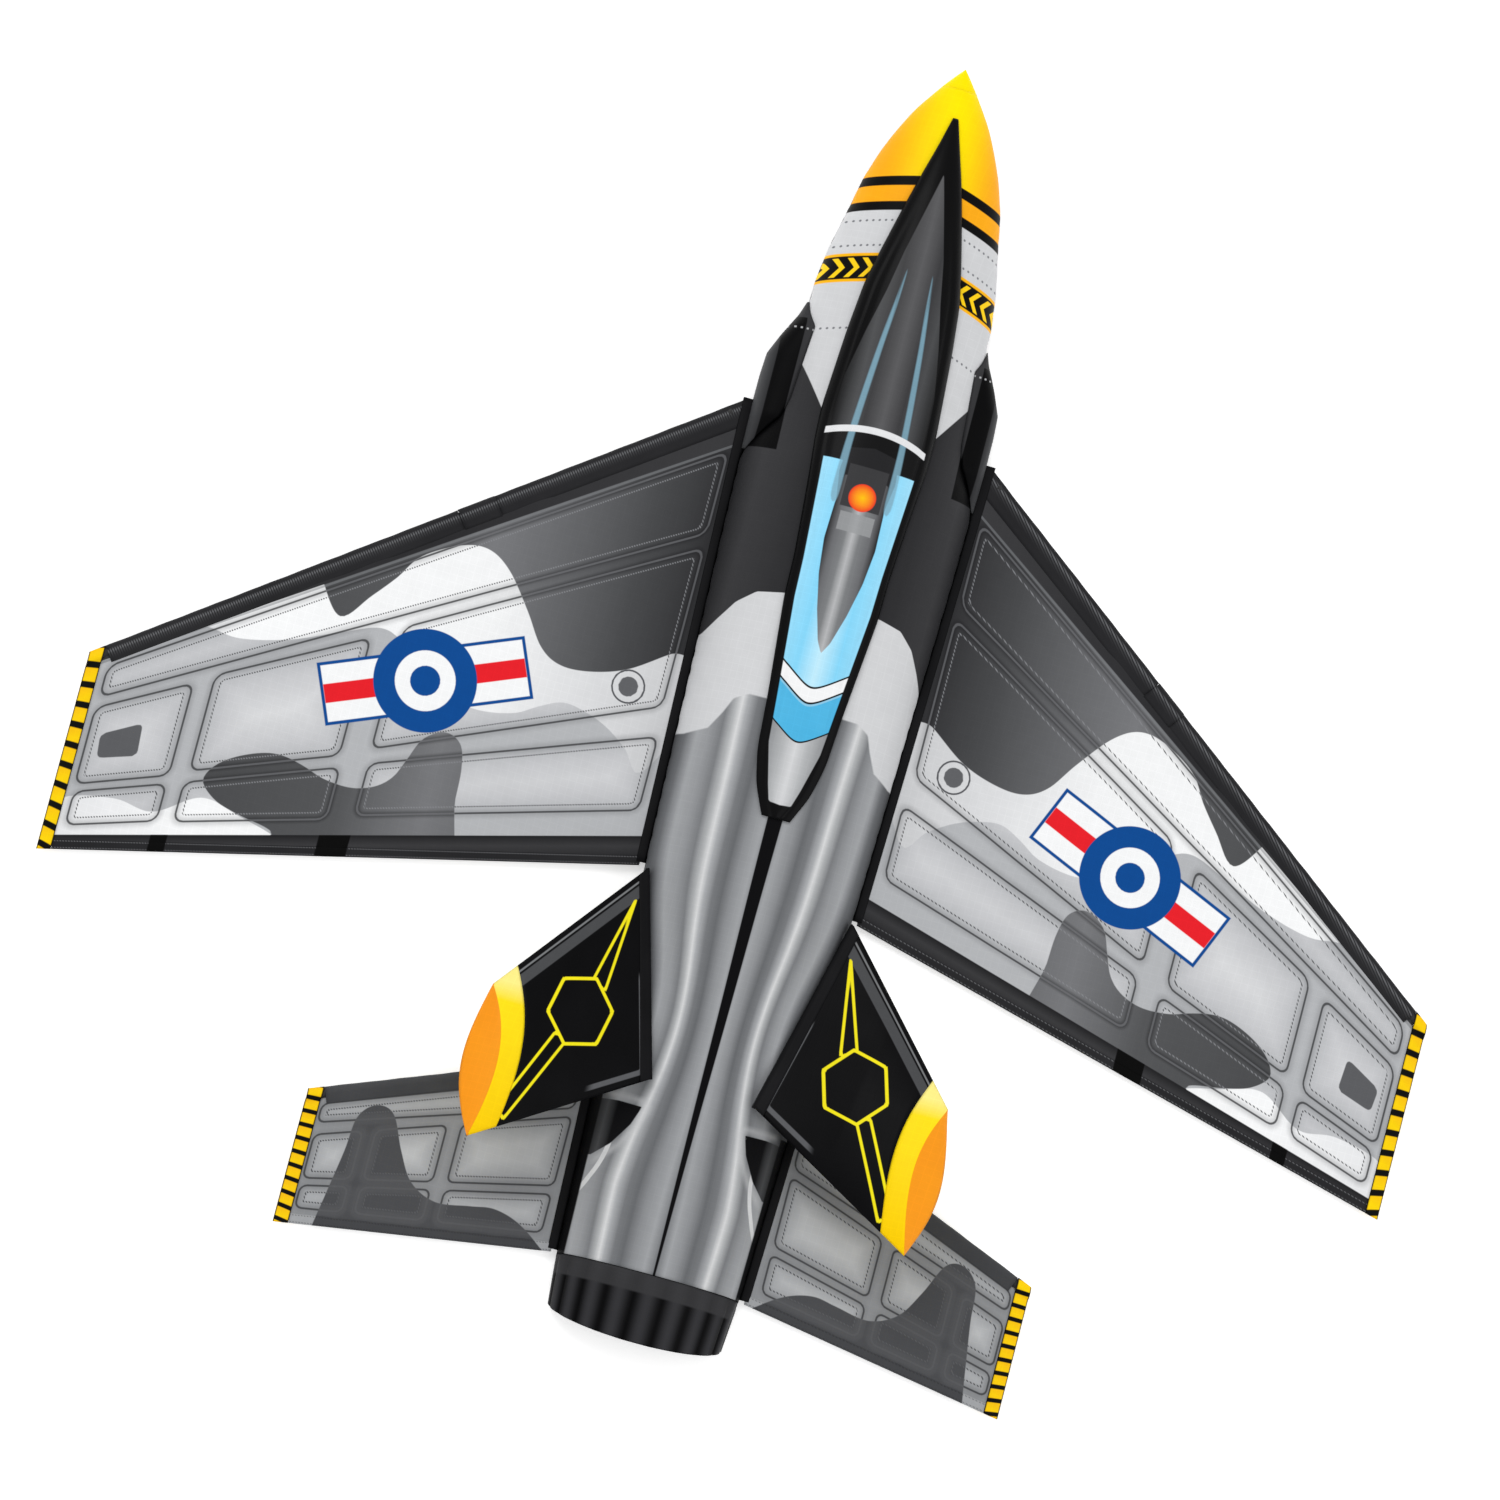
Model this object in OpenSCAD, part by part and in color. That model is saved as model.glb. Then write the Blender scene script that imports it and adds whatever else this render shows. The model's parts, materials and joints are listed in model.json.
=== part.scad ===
// A jet-shaped sport kite of printed nylon, lying on its underside with the printed face up.
// +X is the kite's right, +Y runs to the nose and +Z is up. The floor is z = 0.
// Stations are measured from the nose towards the tail; side() gives their place along Y.

/* [Planform] */
// Wing span from tip to tip
wing_span = 1100; // [1000:10:1250]
// Highest point of the fuselage above its belly
body_height = 50; // [44:1:54]
// Height of the canopy's dome over the fuselage
canopy_rise = 11; // [4:1:16]

/* [Cloth] */
// Thickness of a single sail panel with its print
sail_t = 1; // [0.6:0.1:1.2]
// Thickness of the fuselage skin
skin_t = 1.2; // [0.8:0.1:1.4]
// Width of the hem along a trailing edge
hem_w = 8; // [6:1:12]
// Greatest thickness of a padded fin
fin_t = 22; // [14:1:26]

/* [Frame rods] */
// Radius of the spine rod
spine_r = 3; // [2.5:0.1:3.2]
// Radius of the leading edge rods and the spreader
rod_r = 2.5; // [2:0.1:2.6]
// Outer radius of the sleeves that hold the leading edge rods
sleeve_r = 5; // [5:0.1:5.4]
// Radius of a batten
batten_r = 1.3; // [0.8:0.1:1.5]

/* [Keel] */
// Depth of the keel from its root to its apex
keel_depth = 118; // [90:1:130]
// Radius of the hole in a keel eyelet
eyelet_hole_r = 3; // [2:0.1:4]

/* [Hidden] */

$fn = 48;
k = wing_span / 1100;               // every plan size follows the span
kite_length = 1048 * k;
nose_y = kite_length / 2;
belly_z = 8;                        // top of the belly panel, where the skin starts
sail_z = belly_z - sail_t;          // underside of the sails
spine_z = 13;
rod_z = sleeve_r;
spreader_z = rod_r + 0.1;
fit = 0.03;                         // running clearance of a rod in its fitting
gap = 1.2;                          // between the fuselage and a folding panel's hinge line
arc_steps = 18;

// Half width of the fuselage at each station
body_w = [
    [0, 4], [18, 15], [41, 31], [78, 48], [106, 57], [133, 62], [165, 70], [194, 73.5], [212, 73.5],
    [240, 75.5], [298, 79], [345, 95.2], [681, 85.3], [835, 80.3], [993, 74.6], [1033, 71]
];
// Height of the fuselage over the belly, as a share of body_height
body_h = [
    [0, 0.1], [18, 0.24], [41, 0.4], [78, 0.6], [106, 0.7], [165, 0.84], [212, 0.9], [298, 0.96],
    [345, 1], [450, 1], [600, 0.92], [700, 0.84], [850, 0.76], [993, 0.72], [1033, 0.68]
];
// Half width of the canopy
canopy_w = [
    [43, 3], [96, 16.5], [123, 23], [163, 33], [191, 39.5], [232, 43], [298, 47.5], [323, 46.5],
    [419, 39], [450, 39], [530, 31], [573, 28.5], [610, 20], [624, 12]
];
skin_stations = [
    18, 28, 41, 58, 78, 106, 133, 165, 194, 212, 240, 268, 298, 320, 345, 400, 460, 520, 600, 681,
    760, 835, 915, 993
];
canopy_stations = [
    44, 58, 78, 96, 123, 150, 180, 212, 240, 268, 298, 323, 360, 400, 450, 500, 550, 590, 612, 623
];

function side(s) = nose_y - s * k;
function width_at(s) = lookup(s, body_w) * k;
function height_at(s) = lookup(s, body_h) * body_height;
// Height of the skin's outer face at a station and a distance from the middle
function skin_z(s, x) = belly_z + height_at(s) * sqrt(max(0, 1 - pow(x / width_at(s), 2)));
function mix(a, b, f) = a + (b - a) * f;
function strip(n) = [for (i = [0 : n - 1]) i];

// ---- swept panels: wing and stabiliser --------------------------------------------------

// [front root, front tip, rear tip, rear root] as [x, station]
wing = [[98, 299], [550, 635.5], [550, 796], [86.5, 681]];
tailplane = [[81.5, 835], [296, 920], [296, 1028], [76, 993]];
wing_tip_w = 11;
tail_tip_w = 12;

function corner(p, i) = [p[i][0] * k, side(p[i][1])];
function front_angle(p) = let (d = corner(p, 1) - corner(p, 0)) atan2(d[1], d[0]);
function front_length(p) = norm(corner(p, 1) - corner(p, 0));
// The front and rear edges, moved inwards by a distance square to them
function front_y(p, x, inset) =
    corner(p, 0)[1] + (x - corner(p, 0)[0]) * tan(front_angle(p)) - inset / cos(front_angle(p));
function rear_slope(p) =
    (corner(p, 2)[1] - corner(p, 3)[1]) / (corner(p, 2)[0] - corner(p, 3)[0]);
function rear_y(p, x, inset) =
    corner(p, 3)[1] + (x - corner(p, 3)[0]) * rear_slope(p) + inset * norm([1, rear_slope(p)]);
function root_x(p, y) =
    mix(corner(p, 0)[0], corner(p, 3)[0], (corner(p, 0)[1] - y) / (corner(p, 0)[1] - corner(p, 3)[1]));

// Places a child so that +Z runs out along the rod and z = 0 is at the root
module along_front(p) {
    a = front_angle(p);
    translate([corner(p, 0)[0] + sleeve_r * sin(a), corner(p, 0)[1] - sleeve_r * cos(a), rod_z])
        rotate([0, 90, a]) children();
}

module panel(p, tip_w) {
    hem = 2 * sleeve_r - 0.4;
    x_tip = corner(p, 1)[0] - tip_w;
    x_root = corner(p, 0)[0];
    y_front = front_y(p, x_root, hem);
    y_rear = rear_y(p, corner(p, 3)[0], hem_w);
    translate([0, 0, sail_z]) linear_extrude(sail_t) polygon([
        [root_x(p, y_front) + 0.6, y_front],
        [x_tip, front_y(p, x_tip, hem)],
        [x_tip, rear_y(p, x_tip, hem_w)],
        [root_x(p, y_rear) + 0.6, y_rear]
    ]);
}

module hem(p, tip_w) {
    x_tip = corner(p, 1)[0] - tip_w;
    x_root = corner(p, 3)[0] + 3;
    translate([0, 0, sail_z - 0.4]) linear_extrude(sail_t + 0.8) polygon([
        [x_root, rear_y(p, x_root, hem_w)],
        [x_tip, rear_y(p, x_tip, hem_w)],
        [x_tip, rear_y(p, x_tip, 0)],
        [x_root, rear_y(p, x_root, 0)]
    ]);
}

module tip_band(p, tip_w) {
    x_out = corner(p, 1)[0];
    x_in = x_out - tip_w;
    inset = 2 * sleeve_r + 0.3;
    translate([0, 0, sail_z - 0.6]) linear_extrude(sail_t + 1.2) polygon([
        [x_in, front_y(p, x_in, inset)],
        [x_out, front_y(p, x_out, inset)],
        [x_out, rear_y(p, x_out, 0)],
        [x_in, rear_y(p, x_in, 0)]
    ]);
}

module tube(from, to, outer_r, bore_r) {
    translate([0, 0, from]) difference() {
        cylinder(h = to - from, r = outer_r);
        translate([0, 0, -1]) cylinder(h = to - from + 2, r = bore_r);
    }
}

// A closed cap over the end of a rod, its mouth at from
module rod_cap(from, depth, wall, outer_r) {
    length = abs(depth) + wall;
    translate([0, 0, depth > 0 ? from : from - length]) difference() {
        cylinder(h = length, r = outer_r);
        translate([0, 0, depth > 0 ? -1 : wall]) cylinder(h = abs(depth) + 1, r = rod_r + fit);
    }
}

root_end = 24;                      // the rod starts here, clear of the folding line
tip_end = 12;                       // and stops this far short of the tip
cap_wall = 5;
cap_depth = 6;
saddle_half = 16;                   // half of the gap in the sleeve at the saddle
spreader_s = 444;                   // station of the spreader
spreader_y = side(spreader_s);
// Distance along the wing rod to where the spreader meets it
saddle_u = (front_y(wing, corner(wing, 0)[0], 0) - sleeve_r * cos(front_angle(wing)) - spreader_y)
    / -sin(front_angle(wing));
saddle_x = corner(wing, 0)[0] + sleeve_r * sin(front_angle(wing)) + saddle_u * cos(front_angle(wing));
spreader_half = saddle_x - 8;

module wing_sail() { color("SlateGray") panel(wing, wing_tip_w); }

module wing_spar() {
    color("DimGray") along_front(wing) translate([0, 0, root_end])
        cylinder(h = front_length(wing) - root_end - tip_end, r = rod_r);
}

module spar_sleeve() {
    end = front_length(wing) - tip_end - cap_depth - 1;
    color("#2F2F31") along_front(wing) {
        tube(root_end + cap_depth, saddle_u - saddle_half, sleeve_r, rod_r + 0.3);
        tube(saddle_u + saddle_half, end, sleeve_r, rod_r + 0.3);
    }
}

module spar_root_cap() {
    color("Black") along_front(wing) rod_cap(root_end + cap_depth, -cap_depth, cap_wall, 4.2);
}

module spar_tip_cap() {
    color("Black") along_front(wing)
        rod_cap(front_length(wing) - tip_end - cap_depth, cap_depth, cap_wall, 4.2);
}

// Open below, so that the folding wing lifts off the spreader
module spreader_saddle() {
    block = [34, 11, sail_z - 0.1];
    color("Black") difference() {
        union() {
            along_front(wing) translate([0, 0, saddle_u - 14]) cylinder(h = 28, r = 4.5);
            translate([saddle_x - block[0], spreader_y - block[1] / 2, 0]) cube([block[0] - 2, block[1], block[2]]);
        }
        along_front(wing) translate([0, 0, saddle_u - 40]) cylinder(h = 80, r = rod_r + fit);
        translate([saddle_x - block[0] - 10, spreader_y - rod_r - 0.3, -10])
            cube([block[0] + 10 - 7.5, 2 * rod_r + 0.6, 10 + spreader_z + rod_r + 0.3]);
    }
}

module wing_tip_band() { color("#FFE000") tip_band(wing, wing_tip_w); }

module wing_hem() { color("#2B2B2D") hem(wing, wing_tip_w); }

batten_x = [200, 330, 445];
spreader_clear = 4;

// The inner batten stops behind the cross spreader; the others stop at the sleeve
module wing_battens() {
    color("WhiteSmoke") for (x = batten_x * k) {
        y_rear = rear_y(wing, x, hem_w + 1);
        y_sleeve = front_y(wing, x, 2 * sleeve_r + 2);
        y_front = x < saddle_x ? min(y_sleeve, spreader_y - rod_r - spreader_clear) : y_sleeve;
        length = y_front - y_rear;
        translate([x, y_rear, sail_z - batten_r - 0.05]) rotate([-90, 0, 0]) cylinder(h = length, r = batten_r);
    }
}

module stabiliser_sail() { color("SlateGray") panel(tailplane, tail_tip_w); }

module stabiliser_rod() {
    color("DimGray") along_front(tailplane) translate([0, 0, root_end])
        cylinder(h = front_length(tailplane) - root_end - tip_end, r = rod_r);
}

module stabiliser_sleeve() {
    end = front_length(tailplane) - tip_end - cap_depth - 1;
    color("#2F2F31") along_front(tailplane) tube(root_end + cap_depth, end, sleeve_r, rod_r + 0.3);
}

module stabiliser_caps() {
    color("Black") along_front(tailplane) {
        rod_cap(root_end + cap_depth, -cap_depth, cap_wall, 4.2);
        rod_cap(front_length(tailplane) - tip_end - cap_depth, cap_depth, cap_wall, 4.2);
    }
}

module stabiliser_tip_band() { color("#FFE000") tip_band(tailplane, tail_tip_w); }

module stabiliser_hem() { color("#2B2B2D") hem(tailplane, tail_tip_w); }

// ---- fuselage ---------------------------------------------------------------------------

// Joins equal rings of points into one closed solid. In each ring the second half runs back
// below the first, so an end is closed by a strip of facets between the two.
module loft(rings) {
    n = len(rings[0]);
    last = (len(rings) - 1) * n;
    quads = concat(
        [for (i = strip(len(rings) - 1)) for (j = strip(n))
            let (a = i * n + j, b = i * n + (j + 1) % n) [a, b, b + n, a + n]],
        [for (j = strip(n / 2 - 1)) [n - 1 - j, n - 2 - j, j + 1, j]],
        [for (j = strip(n / 2 - 1)) [last + j, last + j + 1, last + n - 2 - j, last + n - 1 - j]]
    );
    polyhedron(
        points = [for (r = rings) for (q = r) q],
        faces = [for (q = quads) for (t = [[q[0], q[1], q[2]], [q[0], q[2], q[3]]]) t],
        convexity = 6
    );
}

// One arch of a shell, from the outer face round to the inner one
function arch(w, h, t, y) = [
    for (layer = [0, 1]) for (i = strip(arc_steps + 1))
        let (a = 180 * (layer == 0 ? i : arc_steps - i) / arc_steps, inner = layer * t)
        [(w - inner) * cos(a), y, belly_z + max(0, h - inner) * sin(a)]
];

module fuselage_skin() {
    color("#8B8D90") loft([for (s = skin_stations) arch(width_at(s), height_at(s), skin_t, side(s))]);
}

module belly_panel() {
    stations = [for (q = body_w) if (q[0] >= 18) q[0]];
    n = len(stations);
    color("#5A5B5E") translate([0, 0, sail_z]) linear_extrude(sail_t) polygon(concat(
        [for (i = strip(n)) [width_at(stations[i]), side(stations[i])]],
        [for (i = strip(n)) [-width_at(stations[n - 1 - i]), side(stations[n - 1 - i])]]
    ));
}

// Fills the space between the skin and its own dome, a little clear of the skin
canopy_gap = 0.8;

function canopy_ring(s) =
    let (
        w = lookup(s, canopy_w) * k,
        along = (s - canopy_stations[0]) / (624 - canopy_stations[0]),
        rise = 1 + canopy_rise * sin(180 * pow(along, 0.75)),
        xs = [for (i = [-8 : 8]) w * sin(90 * i / 8)]
    )
    concat(
        [for (i = [16 : -1 : 0]) [xs[i], side(s), skin_z(s, xs[i]) + canopy_gap + 0.8 + rise * sqrt(max(0, 1 - pow(xs[i] / w, 2)))]],
        [for (i = strip(17)) [xs[i], side(s), skin_z(s, xs[i]) + canopy_gap]]
    );

module canopy_panel() {
    color("LightSkyBlue") loft([for (s = canopy_stations) canopy_ring(s)]);
}

function half_oval(w, h) = [for (i = strip(arc_steps + 1)) [w * cos(180 * i / arc_steps), h * sin(180 * i / arc_steps)]];

// An arch inside the skin, with a foot bar and a hub on the spine
module former(s, thick) {
    w = width_at(s) - 3;
    h = height_at(s) - 3;
    rib = 2.4;
    hub_z = spine_z - belly_z;
    translate([0, side(s), belly_z]) rotate([90, 0, 0]) linear_extrude(thick) difference() {
        union() {
            difference() {
                polygon(half_oval(w, h));
                polygon(half_oval(w - rib, h - rib));
            }
            translate([-w + 1, 0]) square([2 * w - 2, 1.8]);
            translate([0, hub_z]) circle(r = spine_r + 1.6);
        }
        translate([0, hub_z]) circle(r = spine_r + fit);
    }
}

nozzle_s = 993.5;
nozzle_steps = 5;

// The rear rim stands further back at the top than at the sides
module nozzle_skirt() {
    color("#1C1C1E") loft([for (f = [0 : 1 / nozzle_steps : 1]) [
        for (layer = [0, 1]) for (i = strip(arc_steps + 1))
            let (
                a = 180 * (layer == 0 ? i : arc_steps - i) / arc_steps,
                inner = layer * skin_t,
                s = nozzle_s + f * (39.5 + 15 * sin(a))
            )
            [
                (mix(74.4, 71, f) * k - inner) * cos(a),
                side(s),
                belly_z + (mix(0.72, 0.68, f) * body_height - inner) * sin(a)
            ]
    ]]);
}

module nozzle_hoop() { color("DimGray") former(1001, 4); }

spine_from = 10;
spine_to = 1008;

module spine_rod() {
    color("DimGray") translate([0, side(spine_from), spine_z]) rotate([90, 0, 0])
        cylinder(h = (spine_to - spine_from) * k, r = spine_r);
}

module nose_cap() {
    front = 17.9;
    outline = [[2, 0], [7, 2], [11, 8], [width_at(front) / k, front]];
    color("#FBAB18") difference() {
        union() {
            translate([0, 0, sail_z]) linear_extrude(belly_z + height_at(front) - sail_z - 0.2) polygon(concat(
                [for (q = outline) [q[0] * k, side(q[1])]],
                [for (i = strip(4)) [-outline[3 - i][0] * k, side(outline[3 - i][1])]]
            ));
            translate([0, side(front) + 1, spine_z]) rotate([90, 0, 0]) cylinder(h = 15, r = spine_r + 1.6);
        }
        translate([0, side(spine_from) + 0.2, spine_z]) rotate([90, 0, 0]) cylinder(h = 60, r = spine_r + fit);
    }
}

module tail_cap() {
    color("Black") translate([0, side(spine_to) - 3, spine_z]) rotate([-90, 0, 0]) difference() {
        cylinder(h = 5, r = spine_r + 1.6);
        translate([0, 0, 2.8]) cylinder(h = 5, r = spine_r + fit);
    }
}

// The scoop beside the cockpit: outer edge first, then the edge along the skin
intake_plan = [
    [213.6, 74.8], [225, 78], [245, 88.6], [262, 96.2], [300, 96.6], [341, 95.6],
    [300, 80.8], [240, 76.4]
];

module intake() {
    color("#2B2B2D") translate([0, 0, sail_z]) linear_extrude(0.46 * body_height)
        polygon([for (q = intake_plan) [q[1] * k, side(q[0])]]);
}

module cross_spreader() {
    color("DimGray") translate([-spreader_half, spreader_y, spreader_z]) rotate([0, 90, 0])
        cylinder(h = 2 * spreader_half, r = rod_r);
}

module spreader_clip() {
    color("Black") translate([0, spreader_y, 0]) difference() {
        translate([-14, -6, spreader_z - 1.4]) cube([28, 12, sail_z - 0.05 - spreader_z + 1.4]);
        translate([-30, 0, spreader_z]) rotate([0, 90, 0]) cylinder(h = 60, r = rod_r + fit);
    }
}

// ---- fins -------------------------------------------------------------------------------

// Plan corners of a fin: [x, station, height] at the front and rear of the root, and the tip
fin_front = [84, 684, 27];
fin_rear = [42, 846, 49];
fin_tip_front = [185, 811];
fin_tip_rear = [177, 933];
fin_tip_z = 100;                    // height in the middle of the tip

// Slopes of the fin's middle plane along x and the station
fin_mid = (fin_tip_front + fin_tip_rear) / 2;
fin_d1 = [fin_rear[0] - fin_front[0], fin_rear[1] - fin_front[1], fin_rear[2] - fin_front[2]];
fin_d2 = [fin_mid[0] - fin_front[0], fin_mid[1] - fin_front[1], fin_tip_z - fin_front[2]];
fin_n = cross(fin_d1, fin_d2);
function fin_z(x, s) = fin_front[2] - (fin_n[0] * (x - fin_front[0]) + fin_n[1] * (s - fin_front[1])) / fin_n[2];

function fin_point(v, c, bulge) =
    let (
        a = mix([fin_front[0], fin_front[1]], fin_tip_front, v),
        b = mix([fin_rear[0], fin_rear[1]], fin_tip_rear, v),
        q = mix(a, b, c) + [bulge, 0]
    )
    [q[0], q[1]];
// Thin at the root and the edges, padded between
function fin_half(v, c) = 0.6 + (fin_t / 2 - 0.6) * min(1, v / 0.45) * pow(max(0, sin(180 * c)), 0.7);
fin_c = [0, 0.03, 0.1, 0.2, 0.35, 0.5, 0.65, 0.8, 0.9, 0.97, 1];

function fin_ring(v, bulge) = concat(
    [for (c = fin_c) let (q = fin_point(v, c, bulge * sin(180 * c)))
        [q[0] * k, side(q[1]), fin_z(q[0], q[1]) + fin_half(v, c)]],
    [for (i = [10 : -1 : 0]) let (c = fin_c[i], q = fin_point(v, c, bulge * sin(180 * c)))
        [q[0] * k, side(q[1]), fin_z(q[0], q[1]) - fin_half(v, c)]]
);

module fin_panel() {
    color("#111111") loft([for (v = [0.012, 0.08, 0.2, 0.32, 0.45, 0.6, 0.75, 0.88]) fin_ring(v, 0)]);
}

module fin_tip() {
    color("#F7941D") loft([fin_ring(0.88, 0), fin_ring(0.96, 3), fin_ring(1.04, 8)]);
}

// A web that carries the fin's hinge seam above the skin
module fin_base() {
    steps = 8;
    color("#4D4E50") loft([for (i = strip(steps + 1))
        let (
            f = mix(0.02, 0.98, i / steps),
            x = mix(fin_front[0], fin_rear[0], f),
            s = mix(fin_front[1], fin_rear[1], f),
            top = mix(fin_front[2], fin_rear[2], f) - 2.3,
            foot = skin_z(s, (x - 0.8) * k) + 0.3
        )
        [
            [(x + 0.8) * k, side(s), top],
            [(x - 0.8) * k, side(s), top],
            [(x - 0.8) * k, side(s), foot],
            [(x + 0.8) * k, side(s), foot]
        ]
    ]);
}

// ---- keel -------------------------------------------------------------------------------

keel_z = 0.8;                       // the keel lies flat on the floor here
keel_t = 1.2;
keel_front_s = 460;
keel_rear_s = 674;
keel_apex_s = 494;
eyelet_s = [494, 522];
eyelet_in = [15, 22];               // how far the eyelets stand in from the apex

module keel_root_strip() {
    color("#2B2B2D") translate([-0.6, side(keel_rear_s), keel_z + 1.3])
        cube([1.2, (keel_rear_s - keel_front_s) * k, sail_z - keel_z - 1.3]);
}

module eyelet_places() {
    for (i = [0, 1]) translate([keel_depth - eyelet_in[i], side(eyelet_s[i]), keel_z]) children();
}

module keel_panel() {
    color("#3A3A3C") difference() {
        translate([0, 0, keel_z - keel_t / 2]) linear_extrude(keel_t) polygon([
            [0.8, side(keel_front_s)],
            [keel_depth - 4, side(keel_apex_s - 12)],
            [keel_depth, side(keel_apex_s - 4)],
            [keel_depth, side(keel_apex_s + 8)],
            [keel_depth - 8, side(keel_apex_s + 30)],
            [0.8, side(keel_rear_s)]
        ]);
        eyelet_places() cylinder(h = 10, r = eyelet_hole_r + 1.2, center = true);
    }
}

// A second layer of cloth around the eyelets, on the side that lies up
module keel_patch() {
    color("Black") difference() {
        translate([0, 0, keel_z + keel_t / 2]) linear_extrude(0.4) polygon([
            [keel_depth - 40, side(keel_apex_s - 16)],
            [keel_depth - 6, side(keel_apex_s - 9)],
            [keel_depth - 2.5, side(keel_apex_s - 3)],
            [keel_depth - 2.5, side(keel_apex_s + 7)],
            [keel_depth - 10.5, side(keel_apex_s + 30)],
            [keel_depth - 40, side(keel_apex_s + 70)]
        ]);
        eyelet_places() cylinder(h = 10, r = eyelet_hole_r + 3.2, center = true);
    }
}

module keel_eyelets() {
    rim = eyelet_hole_r + 3;
    color("Gold") eyelet_places() difference() {
        union() {
            cylinder(h = keel_t, r = eyelet_hole_r + 1.2, center = true);
            for (z = [-0.8, 0.6]) translate([0, 0, z]) cylinder(h = 0.2 + (z > 0 ? 0.3 : 0), r = rim);
        }
        cylinder(h = 10, r = eyelet_hole_r, center = true);
    }
}

module left() { mirror([1, 0, 0]) children(); }

spine_rod();
nose_cap();
tail_cap();
fuselage_skin();
belly_panel();
canopy_panel();
color("WhiteSmoke") former(116, 3);  // nose_former
color("WhiteSmoke") former(255, 3);  // cockpit_former
color("WhiteSmoke") former(425, 3);  // front_former
color("WhiteSmoke") former(600, 3);  // middle_former
color("WhiteSmoke") former(790, 3);  // rear_former
left() intake();  // intake_left
intake();  // intake_right
nozzle_skirt();
nozzle_hoop();
cross_spreader();
spreader_clip();
keel_root_strip();
left() fin_base();  // fin_base_left
fin_base();  // fin_base_right
left() wing_sail();  // wing_sail_left
wing_sail();  // wing_sail_right
left() wing_spar();  // wing_spar_left
wing_spar();  // wing_spar_right
left() spar_sleeve();  // spar_sleeve_left
spar_sleeve();  // spar_sleeve_right
left() spar_root_cap();  // spar_root_cap_left
spar_root_cap();  // spar_root_cap_right
left() spar_tip_cap();  // spar_tip_cap_left
spar_tip_cap();  // spar_tip_cap_right
left() spreader_saddle();  // spreader_saddle_left
spreader_saddle();  // spreader_saddle_right
left() wing_tip_band();  // wing_tip_band_left
wing_tip_band();  // wing_tip_band_right
left() wing_hem();  // wing_hem_left
wing_hem();  // wing_hem_right
left() wing_battens();  // wing_battens_left
wing_battens();  // wing_battens_right
left() stabiliser_sail();  // stabiliser_sail_left
stabiliser_sail();  // stabiliser_sail_right
left() stabiliser_rod();  // stabiliser_rod_left
stabiliser_rod();  // stabiliser_rod_right
left() stabiliser_sleeve();  // stabiliser_sleeve_left
stabiliser_sleeve();  // stabiliser_sleeve_right
left() stabiliser_caps();  // stabiliser_caps_left
stabiliser_caps();  // stabiliser_caps_right
left() stabiliser_tip_band();  // stabiliser_tip_band_left
stabiliser_tip_band();  // stabiliser_tip_band_right
left() stabiliser_hem();  // stabiliser_hem_left
stabiliser_hem();  // stabiliser_hem_right
left() fin_panel();  // fin_panel_left
fin_panel();  // fin_panel_right
left() fin_tip();  // fin_tip_left
fin_tip();  // fin_tip_right
keel_panel();
keel_patch();
keel_eyelets();
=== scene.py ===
"""Builds a jet-shaped kite of printed nylon around its packed rod frame."""

import json
import math

import bmesh
import bpy
import numpy as np
from mathutils import Matrix, Vector


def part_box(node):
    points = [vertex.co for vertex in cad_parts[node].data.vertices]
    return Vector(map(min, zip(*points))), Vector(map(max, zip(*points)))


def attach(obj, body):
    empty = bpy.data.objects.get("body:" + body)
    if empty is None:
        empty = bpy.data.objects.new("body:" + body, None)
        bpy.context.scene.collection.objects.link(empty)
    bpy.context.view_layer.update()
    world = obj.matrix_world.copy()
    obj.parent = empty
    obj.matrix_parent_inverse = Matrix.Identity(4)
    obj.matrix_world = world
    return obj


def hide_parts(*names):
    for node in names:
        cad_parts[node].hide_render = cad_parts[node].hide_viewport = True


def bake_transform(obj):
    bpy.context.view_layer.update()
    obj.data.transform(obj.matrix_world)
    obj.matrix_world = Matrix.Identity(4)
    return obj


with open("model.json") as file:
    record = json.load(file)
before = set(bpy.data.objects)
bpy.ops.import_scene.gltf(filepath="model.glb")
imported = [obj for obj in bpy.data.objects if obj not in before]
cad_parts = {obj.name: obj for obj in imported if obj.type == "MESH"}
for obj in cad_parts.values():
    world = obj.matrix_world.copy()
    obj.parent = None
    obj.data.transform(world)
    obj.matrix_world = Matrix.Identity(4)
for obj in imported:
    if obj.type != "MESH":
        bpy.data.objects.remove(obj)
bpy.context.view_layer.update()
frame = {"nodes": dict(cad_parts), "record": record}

bl_info = {
    "name": "Jet Kite",
    "version": (1, 0, 0),
    "blender": (4, 5, 0),
    "location": "View3D > Sidebar > Jet Kite",
    "description": "Sews a jet-shaped kite of printed nylon over its rod frame",
    "category": "Object",
}

# ---- sizes ----------------------------------------------------------------------------
# Plan sizes are in millimetres: `side` is the distance from the middle line, and
# `station` is the distance from the nose towards the tail.

MM = 0.001
NOSE_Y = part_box("nose_cap")[1][1]
BELLY_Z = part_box("belly_panel")[1][2]
SAIL_Z = BELLY_Z - 0.0005
BODY_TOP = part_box("fuselage_skin")[1][2]

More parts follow.
